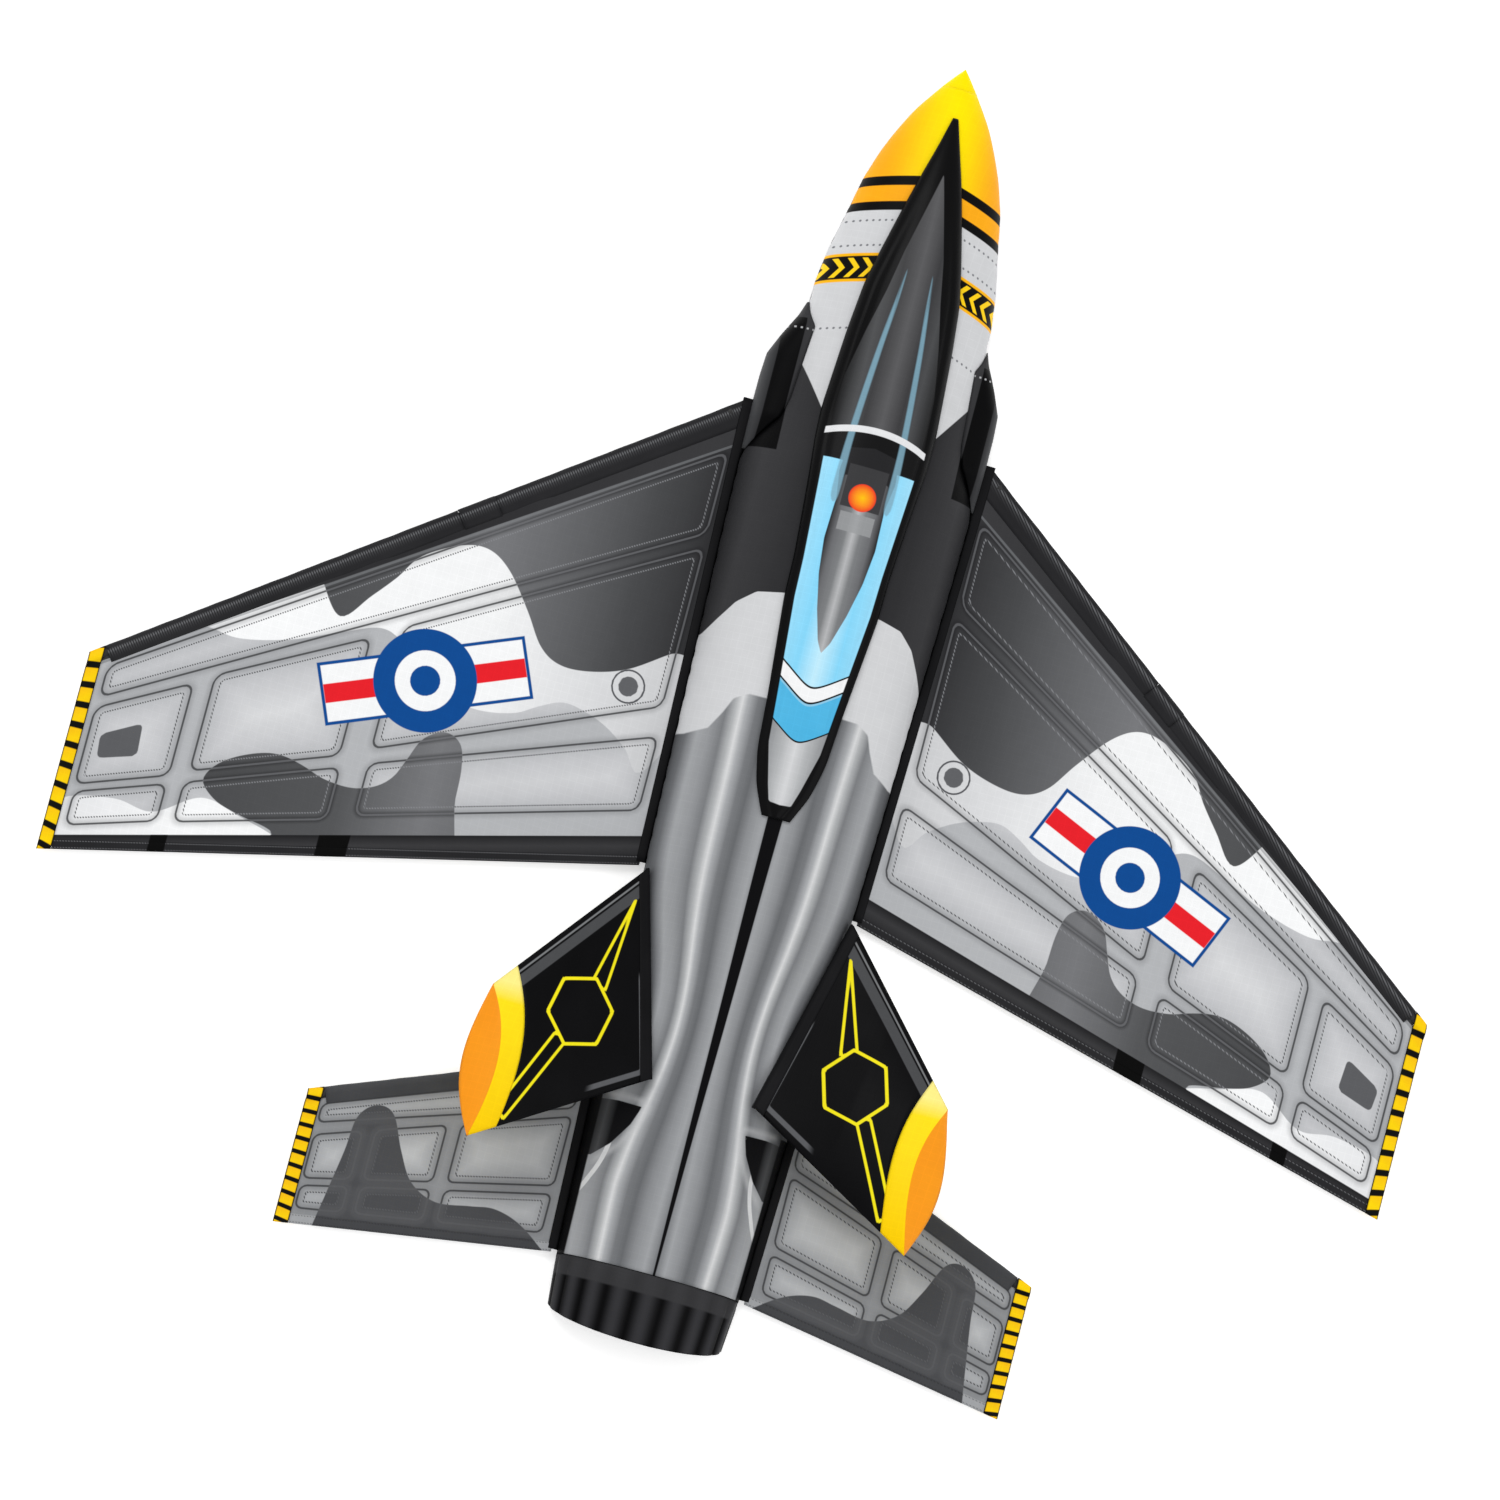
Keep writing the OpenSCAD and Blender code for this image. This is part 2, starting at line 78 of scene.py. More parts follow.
# Swept panels: corners as (side, station), front root, front tip, rear tip, rear root
WING = {
    "corners": [(98, 299), (550, 635.5), (550, 796), (86.5, 681)],
    "tip_band": 11,
    "front_band": (30, 10),
    "rear_band": (23, 11),
    "rear_gaps": [(327, 24), (460, 13)],
    "flange": (7, 1.5),
    "puff": "wing_puff",
    "rows": 84,
    "columns": 150,
}
TAILPLANE = {
    "corners": [(81.5, 835), (296, 920), (296, 1028), (76, 993)],
    "tip_band": 12,
    "front_band": (15, 9),
    "rear_band": (6, 4),
    "rear_gaps": [],
    "flange": (2.5, 1),
    "puff": "tail_puff",
    "rows": 60,
    "columns": 90,
}
SLEEVE_R = 5
HEM = 8
SADDLE_GAP = (220, 252)
NOSE_CAP = 18
FORMERS = [18, 116, 255, 425, 600, 790, 993]

BODY_WIDTH = [
    (0, 1), (18, 14.6), (41, 30.5), (60, 40), (78, 48), (106, 57), (133, 62), (165, 69), (194, 73),
    (212, 73.4), (240, 75), (298, 79), (345, 95), (400, 93.8), (520, 90), (681, 85.2), (835, 80.2),
    (993, 74.6), (1033, 71),
]
BODY_HEIGHT = [
    (0, 3), (18, 12), (41, 20), (60, 25.5), (78, 30), (106, 35), (165, 42), (212, 45), (298, 48),
    (345, 50), (450, 50), (600, 46), (700, 42), (850, 38), (993, 36), (1033, 34),
]
CANOPY_ENDS = (44, 623)
CANOPY_WIDTH = [
    (43, 2), (70, 9), (96, 16.5), (123, 23.5), (163, 33), (191, 39), (232, 43), (298, 47.2),
    (323, 46.5), (370, 42.5), (419, 39), (450, 38.5), (530, 31), (573, 28), (600, 22), (624, 11),
]

# ---- print artwork --------------------------------------------------------------------

WING_DARK_ROOT = [
    (386, 535), (367, 556), (348, 534), (332, 514), (318, 493), (290, 476), (268, 473), (248, 485),
    (226, 512), (209, 536), (191, 546), (167, 545), (138, 535), (108, 514), (84, 498), (76, 380),
    (84, 276), (240, 380), (400, 502),
]
WING_WHITE = [
    (78, 480), (84, 560), (107, 611), (124, 596), (142, 584), (160, 577), (180, 574), (198, 582),
    (217, 593), (248, 598), (276, 590), (302, 572), (330, 556), (362, 567), (400, 584), (440, 594),
    (470, 592), (505, 602), (470, 560), (300, 430), (100, 300),
]
WING_DARK_REAR = [
    (438, 710), (433, 697), (420, 686), (401, 677), (385, 674), (367, 677), (347, 683), (325, 684),
    (307, 678), (295, 667), (288, 651), (280, 632), (265, 622), (251, 627), (245, 643), (243, 670),
    (242, 740), (372, 748), (376, 734), (405, 728), (425, 722),
]
WING_WHITE_REAR = [
    (368, 740), (404, 729), (436, 723), (470, 744), (503, 742), (545, 756), (545, 800), (368, 760),
]
WING_SEAMS = [
    [(105, 347), (533, 643), (533, 668), (105, 414)],
    [(104, 426), (317, 551), (317, 650), (104, 556)],
    [(340, 566), (450, 627), (450, 705), (340, 662)],
    [(465, 638), (534, 677), (534, 739), (465, 713)],
    [(101, 580), (316, 662), (316, 704), (101, 640)],
    [(337, 671), (452, 715), (452, 747), (337, 713)],
    [(465, 720), (533, 745), (533, 772), (465, 750)],
]
WING_HATCH = [(525, 696), (495, 679), (493, 705), (523, 715)]
WING_PORT = (134, 548)
BADGE = {
    "at": (290, 587), "turn": 23, "bar": (83, 25), "outline": 2.6, "stripe": 7.5, "rings": (41, 24, 12),
}

TAIL_DARK = [
    (268, 1040), (262, 1000), (256, 960), (253, 932), (241, 919), (226, 922), (213, 948), (199, 970),
    (177, 980), (150, 976), (131, 973), (111, 978), (92, 990), (78, 1004), (90, 1020), (268, 1060),
]
TAIL_ROWS = [(887, 954, 943, 989), (950, 995, 981, 1013)]
TAIL_COLUMNS = [(90, 172), (183, 236), (246, 282)]
TAIL_SPREAD = [90, 282]
TAIL_SEAMS = [[(90, 855), (282, 929), (282, 944), (90, 880)]]
for top_in, top_out, low_in, low_out in TAIL_ROWS:
    for near, far in TAIL_COLUMNS:
        upper = [top_in + (top_out - top_in) * (at - TAIL_SPREAD[0]) / (TAIL_SPREAD[1] - TAIL_SPREAD[0])
                 for at in (near, far)]
        lower = [low_in + (low_out - low_in) * (at - TAIL_SPREAD[0]) / (TAIL_SPREAD[1] - TAIL_SPREAD[0])
                 for at in (near, far)]
        TAIL_SEAMS.append([(near, upper[0]), (far, upper[1]), (far, lower[1]), (near, lower[0])])

BODY_DARK = [
    (112, 196), (75, 257), (47, 298), (0, 350), (0, 449), (38, 449), (59, 453), (72, 464), (82, 480),
    (90, 494), (112, 496),
]
BODY_LOBE = [
    (38, 449), (59, 453), (72, 464), (82, 480), (90, 494), (112, 496), (112, 577), (84, 574),
    (68, 566), (60, 551), (55, 539), (45, 533), (38, 533),
]
BODY_METAL = [
    (112, 577), (84, 574), (68, 566), (60, 551), (55, 539), (45, 533), (0, 533), (0, 1010), (112, 1010),
]
BODY_VENT = [(42, 868), (60, 867), (77, 868), (78, 890), (77, 914), (70, 913), (58, 901), (47, 883)]

GLASS = [
    (0, 93), (10, 136), (16, 162), (22, 196), (30, 232), (37, 270), (39, 309), (37, 340), (32, 419),
    (31, 450), (24, 530), (21, 566), (13, 598), (9, 611), (0, 612),
]
FAIRING = [(0, 345), (18, 348), (20, 372), (21, 400), (18, 428), (12, 456), (5, 480), (0, 489)]
COCKPIT = [(0, 322), (21, 326), (23, 345), (19, 372), (0, 372)]
STREAK = [
    (10.5, 176), (13.5, 200), (18, 240), (22, 290), (24.5, 335), (24.5, 366), (19, 366), (18.5, 315),
    (14.5, 245), (11.5, 205),
]

FIN_ROOT = [(84, 684, 27), (42, 846, 49)]
FIN_TIP = [(185, 811), (177, 933)]
FIN_TIP_HEIGHT = 100
FIN_THICK = 22
FIN_LENS = (0.105, 0.045)
# The tape at a fin's root: how far it reaches over the fin above and below, as shares of the
# fin's length, and between those its offset from the web's middle and its depth, in mm
FIN_TAPE_OVER = (0.06, 0.045, 0.03, 0.015)
FIN_TAPE_WEB = [(-0.7, -0.9), (-1.1, 0.2), (-1.3, 1.6), (-1.3, 5), (-1.3, 7), (1.3, 7), (1.3, 5), (1.3, 3.2)]
FIN_TAPE_UNDER = (0.022, 0.034, 0.048, 0.06)
FIN_TAPE_BEND = (3.0, 0.03)
FIN_BAND = 19
FIN_REACH = 125
FIN_ROWS, FIN_COLUMNS, FIN_START = 70, 61, 0.012
FIN_SHELL = 0.6
FIN_OUTLINE = [(84, 684), (220, 855), (220, 960), (42, 846)]
MOTIF_AT = (112, 812)
MOTIF_R = 30
MOTIF_FRONT = [(88, 712), (96, 790), (108, 786)]
MOTIF_REAR = [(118, 838), (128, 834), (160, 905), (152, 912)]

INTAKE_WIDTH = [(214, 74.6), (225, 78.2), (245, 88.2), (262, 95.4), (280, 96.4), (300, 96.5), (341, 95.6)]
INTAKE_FOOT, INTAKE_CROWN = 7.2, 29.8
NOZZLE_RIBS, NOZZLE_STEPS = 10, 160
NOZZLE_START, NOZZLE_LENGTH = 993.5, 39.5
NOZZLE_HALF_WIDTH, NOZZLE_HEIGHT = (74.4, 71), (36, 34)


def smooth_loop(points, steps=7):
    """A closed curve through given points."""
    p = np.array(points, float)
    before, after, beyond = np.roll(p, 1, 0), np.roll(p, -1, 0), np.roll(p, -2, 0)
    out = []
    for t in np.arange(steps) / steps:
        out.append(0.5 * (2 * p + (after - before) * t + (2 * before - 5 * p + 4 * after - beyond) * t**2
                          + (3 * p - before - 3 * after + beyond) * t**3))
    return np.stack(out, axis=1).reshape(-1, 2)


def inside(side, station, outline, smooth=False):
    """The distance in mm from an outline's edge, positive inside it."""
    p = smooth_loop(outline) if smooth else np.array(outline, float)
    best = np.full(side.shape, 1e9)
    within = np.zeros(side.shape, bool)
    for (ax, ay), (bx, by) in zip(p, np.roll(p, -1, 0)):
        dx, dy = bx - ax, by - ay
        t = np.clip(((side - ax) * dx + (station - ay) * dy) / max(dx * dx + dy * dy, 1e-9), 0, 1)
        best = np.minimum(best, np.hypot(side - ax - t * dx, station - ay - t * dy))
        if dy:
            crosses = ((ay > station) != (by > station)) & (side < dx * (station - ay) / dy + ax)
            within ^= crosses
    return np.where(within, best, -best)


def rounded(side, station, corners, radius):
    """As inside, for a panel with rounded corners."""
    c = np.array(corners, float)
    turn = np.sign(np.cross(c[1] - c[0], c[2] - c[1]))
    edges = []
    for a, b in zip(c, np.roll(c, -1, 0)):
        n = np.array([-(b - a)[1], (b - a)[0]]) * turn / np.hypot(*(b - a))
        edges.append((side - a[0]) * n[0] + (station - a[1]) * n[1])
    corner = radius - np.sqrt(sum(np.maximum(radius - e, 0) ** 2 for e in edges))
    return np.where(np.minimum.reduce(edges) < radius, corner, inside(side, station, corners))


def curve_at(table, at):
    """A table of pairs, read smoothly."""
    x, y = np.array(table, float).T
    fine = np.arange(x[0], x[-1] + 1, 2.0)
    base = np.interp(fine, x, y)
    pad = np.concatenate([2 * base[0] - base[6:0:-1], base, 2 * base[-1] - base[-2:-8:-1]])
    soft = np.convolve(pad, np.hanning(15)[1:-1] / np.hanning(15)[1:-1].sum(), "valid")
    return np.interp(at, fine, soft)


# ---- mesh helpers ---------------------------------------------------------------------


def hand_in(obj, body, slot, *materials, replaces=()):
    """Gives a finished piece its body, materials and the solids that it stands for; the record slot that it is
    given is not used.
    """
    if materials:
        obj.data.materials.clear()
    for m in materials:
        obj.data.materials.append(m)
    if replaces:
        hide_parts(*replaces)
    if body:
        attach(obj, body)
    return obj


def surface(name, grid, close_across=False, close_ends=False):
    """A mesh of quads over an (n, m, 3) array of points in mm of side, station and height."""
    n, m = grid.shape[:2]
    points = np.stack([grid[..., 0] * MM, NOSE_Y - grid[..., 1] * MM, grid[..., 2] * MM], -1).reshape(-1, 3)
    faces = []
    for i in range(n - 1):
        for j in range(m if close_across else m - 1):
            k = (j + 1) % m
            faces.append((i * m + j, i * m + k, (i + 1) * m + k, (i + 1) * m + j))
    if close_ends:
        faces.append(tuple(range(m))[::-1])
        faces.append(tuple((n - 1) * m + j for j in range(m)))
    mesh = bpy.data.meshes.new(name)
    mesh.from_pydata(points.tolist(), [], faces)
    obj = bpy.data.objects.new(name, mesh)
    bpy.context.scene.collection.objects.link(obj)
    for poly in mesh.polygons:
        poly.use_smooth = True
    return obj


def tidy(obj, merge=0.00001, outwards=True):
    """Merges doubles and turns the faces outwards, or upwards on a single sheet."""
    bm = bmesh.new()
    bm.from_mesh(obj.data)
    bmesh.ops.remove_doubles(bm, verts=bm.verts, dist=merge)
    bmesh.ops.recalc_face_normals(bm, faces=bm.faces)
    if not outwards and sum(f.normal.z * f.calc_area() for f in bm.faces) < 0:
        bmesh.ops.reverse_faces(bm, faces=bm.faces)
    bm.to_mesh(obj.data)
    bm.free()
    return obj


def solid(name, grid):
    """A closed piece whose rings of points are the rows of a grid."""
    return tidy(surface(name, grid, close_across=True, close_ends=True))


def single(name, grid):
    """A sheet without thickness that faces upwards."""
    return tidy(surface(name, grid), outwards=False)


def paint(obj, fields):
    """Stores named fields on a mesh's points; each is worked out from side, station and height."""
    co = np.zeros(len(obj.data.vertices) * 3)
    obj.data.vertices.foreach_get("co", co)
    co = co.reshape(-1, 3) / MM
    side, station = np.abs(co[:, 0]), NOSE_Y / MM - co[:, 1]
    for name, values in fields(side, station, co[:, 2]).items():
        layer = obj.data.attributes.new(name, "FLOAT", "POINT")
        layer.data.foreach_set("value", np.broadcast_to(values, side.shape).astype(np.float32))
    return obj


def modify(obj, kind, **settings):
    """Adds a modifier and applies it."""
    bpy.ops.object.select_all(action="DESELECT")
    bpy.context.view_layer.objects.active = obj
    obj.select_set(True)
    m = obj.modifiers.new(kind.title(), kind)
    for key, value in settings.items():
        setattr(m, key, value)
    bpy.ops.object.modifier_apply(modifier=m.name)
    obj.select_set(False)
    return obj


def thicken(obj, thickness, upper, under):
    """Gives a single sheet its thickness, with one material above and another below."""
    obj.data.materials.append(upper)
    obj.data.materials.append(under)
    return modify(obj, "SOLIDIFY", thickness=thickness, offset=-1, material_offset=1, material_offset_rim=0)


def mirrored(grid, sign):
    """The grid on the right for a sign of 1, or on the left for -1."""
    return grid * np.array([sign, 1, 1])


def look(name):
    """A size from the sidebar."""
    return getattr(bpy.context.scene.kite_look, name)


def chosen(name):
    """A colour from the sidebar."""
    return (*look(name), 1)


SIDES = (("right", 1), ("left", -1))
RIPSTOP_GRID = 6.0

# ---- shader helpers -------------------------------------------------------------------


def tone(code):
    """A hex colour in linear light."""
    c = [int(code[i:i + 2], 16) / 255 for i in (1, 3, 5)]
    return (*[x / 12.92 if x <= 0.04045 else ((x + 0.055) / 1.055) ** 2.4 for x in c], 1)


class Signal:
    """A value in a node tree that can be used in sums."""

    def __init__(self, sheet, socket):
        self.sheet, self.socket = sheet, socket

    def __add__(self, other):
        return self.sheet.math("ADD", self, other)

    def __sub__(self, other):
        return self.sheet.math("SUBTRACT", self, other)

    def __rsub__(self, other):
        return self.sheet.math("SUBTRACT", other, self)

    def __mul__(self, other):
        return self.sheet.math("MULTIPLY", self, other)

    def __abs__(self):
        return self.sheet.math("ABSOLUTE", self)

    def fract(self):
        return self.sheet.math("FRACT", self)

    def wave(self):
        return self.sheet.math("SINE", self)

    def squared(self):
        return self.sheet.math("POWER", self, 2.0)

    def root(self):
        return self.sheet.math("SQRT", self)

    def least(self, other):
        return self.sheet.math("MINIMUM", self, other)

    def most(self, other):
        return self.sheet.math("MAXIMUM", self, other)


class Sheet:
    """Writes the nodes of a material or a node group."""

    def __init__(self, tree):
        self.tree = tree
        self.parts = None

    def node(self, kind, **settings):
        n = self.tree.nodes.new(kind)
        n.location = (len(self.tree.nodes) % 12 * 180, len(self.tree.nodes) // 12 * -220)
        for key, value in settings.items():
            setattr(n, key, value)
        return n

    def plug(self, socket, value):
        """Feeds a socket with a signal, a number, a colour or a hex colour."""
        if isinstance(value, Signal):
            self.tree.links.new(value.socket, socket)
        else:
            socket.default_value = tone(value) if isinstance(value, str) else value

    def math(self, operation, a, b=0.0):
        n = self.node("ShaderNodeMath", operation=operation)
        self.plug(n.inputs[0], a)
        self.plug(n.inputs[1], b)
        return Signal(self, n.outputs[0])

    def field(self, name):
        n = self.node("ShaderNodeAttribute", attribute_name=name)
        return Signal(self, n.outputs["Fac"])

    def place(self, axis):
        """One of the object's own coordinates, in millimetres."""
        if self.parts is None:
            co = self.node("ShaderNodeTexCoord")
            self.parts = self.node("ShaderNodeSeparateXYZ")
            self.tree.links.new(co.outputs["Object"], self.parts.inputs[0])
        return Signal(self, self.parts.outputs["XYZ".index(axis)]) * 1000

    def side(self):
        return abs(self.place("X"))

    def station(self):
        return NOSE_Y / MM - self.place("Y")

    def mask(self, field, soft=0.45):
        """1 where a field in mm is positive, with a soft edge."""
        n = self.node("ShaderNodeMapRange", interpolation_type="SMOOTHSTEP")
        self.plug(n.inputs["Value"], field)
        n.inputs["From Min"].default_value = -soft
        n.inputs["From Max"].default_value = soft
        return Signal(self, n.outputs["Result"])

    def line(self, field, half, soft=0.35):
        return self.mask(half - abs(field), soft)

    def mix(self, below, above, mask, blend="MIX"):
        n = self.node("ShaderNodeMix", data_type="RGBA", blend_type=blend)
        self.plug(n.inputs["Factor"], mask)
        self.plug(n.inputs["A"], below)
        self.plug(n.inputs["B"], above)
        return Signal(self, n.outputs["Result"])

    def ramp(self, value, low, high, stops):
        """Colours along a value in mm."""
        span = self.node("ShaderNodeMapRange")
        self.plug(span.inputs["Value"], value)
        span.inputs["From Min"].default_value = low
        span.inputs["From Max"].default_value = high
        n = self.node("ShaderNodeValToRGB")
        while len(n.color_ramp.elements) < len(stops):
            n.color_ramp.elements.new(0.5)
        for element, (at, colour) in zip(n.color_ramp.elements, stops):
            element.position = (at - low) / (high - low)
            element.color = tone(colour)
        self.tree.links.new(span.outputs["Result"], n.inputs["Fac"])
        return Signal(self, n.outputs["Color"])

    def noise(self, scale, detail=2.0, stretch=(1, 1, 1)):
        co = self.node("ShaderNodeTexCoord")
        mapping = self.node("ShaderNodeMapping")
        mapping.inputs["Scale"].default_value = stretch
        self.tree.links.new(co.outputs["Object"], mapping.inputs["Vector"])
        n = self.node("ShaderNodeTexNoise")
        n.inputs["Scale"].default_value = scale
        n.inputs["Detail"].default_value = detail
        self.tree.links.new(mapping.outputs[0], n.inputs["Vector"])
        return Signal(self, n.outputs["Fac"])


class Print:
    """A colour over which others are laid, each where its mask is 1."""

    def __init__(self, sheet, ground):
        self.sheet, self.colour = sheet, ground

    def lay(self, colour, mask):
        self.colour = self.sheet.mix(self.colour, colour, mask)
        return self.colour


def ripstop_group():
    """Node group: the square grid and fine weave of ripstop nylon."""
    if "Ripstop weave" in bpy.data.node_groups:
        return bpy.data.node_groups["Ripstop weave"]
    tree = bpy.data.node_groups.new("Ripstop weave", "ShaderNodeTree")
    socket = tree.interface.new_socket
    socket("Grid", in_out="INPUT", socket_type="NodeSocketFloat").default_value = RIPSTOP_GRID
    socket("Shade", in_out="OUTPUT", socket_type="NodeSocketFloat")
    socket("Height", in_out="OUTPUT", socket_type="NodeSocketFloat")
    s = Sheet(tree)
    grid = Signal(s, s.node("NodeGroupInput").outputs["Grid"])
    x, y, z = s.place("X"), s.place("Y"), s.place("Z")
    ribs = None
    for axis in (x + z * 0.5, y):
        cell = abs(s.math("DIVIDE", axis, grid).fract() - 0.5)
        rib = s.mask(cell - 0.46, 0.03)
        ribs = rib if ribs is None else ribs.most(rib)
    threads = ((x + z * 0.5) * 5.2).wave() * (y * 5.2).wave()
    mottle = s.noise(90, 3)
    out = s.node("NodeGroupOutput")
    s.plug(out.inputs["Shade"], ribs * 0.045 + threads * 0.02 + (mottle - 0.5) * 0.09 + 0.97)
    s.plug(out.inputs["Height"], ribs * 0.6 + threads * 0.25)
    return tree


def new_material(name):
    """A material with its sheet and its shader's inputs."""
    m = bpy.data.materials.new(name)
    m.use_nodes = True
    return m, Sheet(m.node_tree), m.node_tree.nodes["Principled BSDF"].inputs


def add_bump(s, inputs, height, strength, distance):
    n = s.node("ShaderNodeBump")
    n.inputs["Strength"].default_value = strength
    n.inputs["Distance"].default_value = distance
    s.plug(n.inputs["Height"], height)
    s.tree.links.new(n.outputs["Normal"], inputs["Normal"])


def cloth(name, colour_of, rough=0.5, bump=0.22, stitch=None, gloss=0.05):
    """Nylon with the print that colour_of draws; stitch gives a mask of raised thread."""
    if name in bpy.data.materials:
        return bpy.data.materials[name]
    m, s, inputs = new_material(name)
    weave = s.node("ShaderNodeGroup", node_tree=ripstop_group())
    weave.inputs["Grid"].default_value = RIPSTOP_GRID
    shade = Signal(s, weave.outputs["Shade"])
    s.plug(inputs["Base Color"], s.mix(colour_of(s), shade, 1.0, "MULTIPLY"))
    s.plug(inputs["Roughness"], (s.noise(35, 2) - 0.5) * 0.12 + rough)
    height = Signal(s, weave.outputs["Height"])
    if stitch:
        height = height + stitch(s) * 1.5
    add_bump(s, inputs, height, bump, 0.0002)
    inputs["Specular IOR Level"].default_value = gloss
    return m


def plain(dark, light, scale=18):
    """A colour that wanders a little between two tones."""
    return lambda s: s.mix(dark, light, s.noise(scale, 3))


def worn_solid(name, base, edge, rough, metal=0.0, coat=0.0):
    """Moulded, pultruded or pressed stuff: fine grain and slightly polished patches."""
    m, s, inputs = new_material(name)
    wear = s.noise(40, 5)
    fine = s.noise(260, 4, (1, 0.15, 1))
    s.plug(inputs["Base Color"], s.mix(base, edge, wear * 0.7))
    s.plug(inputs["Roughness"], (fine - 0.5) * 0.25 + rough)
    add_bump(s, inputs, fine, 0.15, 0.0003)
    inputs["Metallic"].default_value = metal
    inputs["Coat Weight"].default_value = coat
    return m


def muted(colour_of):
    """The same print as it shows through on the back of the cloth."""
    return lambda s: s.mix(colour_of(s), "#8E9092", 0.5)


# ---- prints ---------------------------------------------------------------------------


def dashes(s, pitch=2.6):
    """Broken into stitches along either direction of a seam."""
    run = (s.place("X") + s.place("Y") * 0.83) * (1 / pitch)
    return s.mask(0.28 - abs(run.fract() - 0.5), 0.08)


def seam_lines(p, dark):
    """Panel outlines with painted shade along each seam, and the row of stitches inside each."""
    s = p.sheet
    seam = s.field("seam")
    ink = s.mix("#3E3F41", "#85868A", dark)
    # soft painted shade either side of each seam, grey on the light zones and near-black on the dark ones
    p.lay("#77787B", s.mask(3.2 - abs(seam), 3.0) * (1.0 - dark) * 0.4)
    p.lay("#1E1E20", s.mask(2.2 - abs(seam), 2.0) * dark * 0.6)
    p.lay(ink, s.line(seam, 0.75) * (0.9 - dark * 0.5))
    return p.lay(ink, s.line(seam - 5.2, 0.55) * dashes(s) * 0.9)


def wing_print(s):
    side = s.field("out")
    # the pale ground has painted shade: it darkens towards each seam
    pale = s.ramp(s.field("seam"), 0, 40, [(0, "#B4B6B9"), (14, "#C6C7CA"), (40, "#D9DADC")])
    bright = s.ramp(side, 90, 550, [
        (92, "#C9CACC"), (170, "#DCDDDF"), (250, "#F2F3F4"), (440, "#F8F9FA"), (545, "#E4E5E7")])
    p = Print(s, s.mix(pale, bright, s.mask(s.field("white"))))
    # the dark camouflage's ramp holds painted shade, darkest at the root, and a painted highlight across the
    # middle of the span
    grey = s.ramp(side, 90, 460, [
        (92, "#2C2C2E"), (150, "#48494B"), (265, "#77787B"), (330, "#545557"), (440, "#4A4B4D")])
    dark = s.mask(s.field("dark"))
    p.lay(grey, dark)
    p.lay("#5C5D60", s.mask(s.field("hatch")))
    port = s.field("port")
    p.lay("#606164", s.mask(8 - port))
    p.lay("#55565A", s.line(port - 13, 0.7))
    seam_lines(p, dark)
    bar_x, bar_y, reach = abs(s.field("badge_x")), abs(s.field("badge_y")), s.field("badge")
    long, wide = BADGE["bar"]
    outline, white = BADGE["outline"], "#F6F7F8"
    p.lay(chosen("badge_blue"), s.mask((long - bar_x).least(wide - bar_y)))
    inner = s.mask((long - outline - bar_x).least(wide - outline - bar_y))
    p.lay(white, inner)
    p.lay(chosen("badge_red"), inner * s.mask(BADGE["stripe"] - bar_y))
    for radius, colour in zip(BADGE["rings"], (chosen("badge_blue"), white, chosen("badge_blue"))):
        p.lay(colour, s.mask(radius - reach))
    front = s.field("front_band")
    p.lay("#77797C", s.line(front + 1.2, 0.9) * 0.6)
    edge = s.ramp(side, 90, 550, [(95, "#3C3C3E"), (300, "#2A2A2C"), (545, "#38383A")])
    p.lay(edge, s.mask(front))
    rear = s.field("rear_band")
    p.lay(s.ramp(rear, 0, 22, [(0, "#1E1E20"), (8, "#3A3A3C"), (20, "#232325")]), s.mask(rear))
    p.lay("#050505", s.mask(rear) * s.mask(s.field("rear_gap")))
    # painted shade along the wing's root, where it meets the fuselage
    return p.lay("#08080A", s.mask(5 - s.field("root"), 1.5) * 0.85)


def tail_print(s):
    # the pale ground has painted shade: it darkens towards each seam
    pale = s.ramp(s.field("seam"), 0, 18, [(0, "#8F9194"), (7, "#A6A8AB"), (18, "#BCBEC0")])
    dark = s.mask(s.field("dark"))
    p = Print(s, s.mix(pale, "#4C4D50", dark))
    seam_lines(p, dark * 0.3)
    p.lay("#555659", s.mask(s.field("front_band")))
    p.lay("#3C3D3F", s.mask(s.field("rear_band")) * 0.5)
    # painted shade along the tail panel's root, where it meets the fuselage
    return p.lay("#0A0A0B", s.mask(3 - s.field("root"), 1.0) * 0.8)


def hazard_print(s):
    """Slanted yellow blocks on black."""
    along, across = s.field("along"), s.field("across")
    block = s.mask(0.34 - abs((along + across * 0.35).fract() - 0.5), 0.03)
    block = block * s.mask(across - 0.07, 0.04) * s.mask(0.94 - across, 0.04)
    yellow = s.mix("#FFE100", "#F6A21B", abs(along.fract() - 0.5) * 0.5 + s.noise(12) * 0.5)
    return s.mix("#0C0C0C", yellow, block)


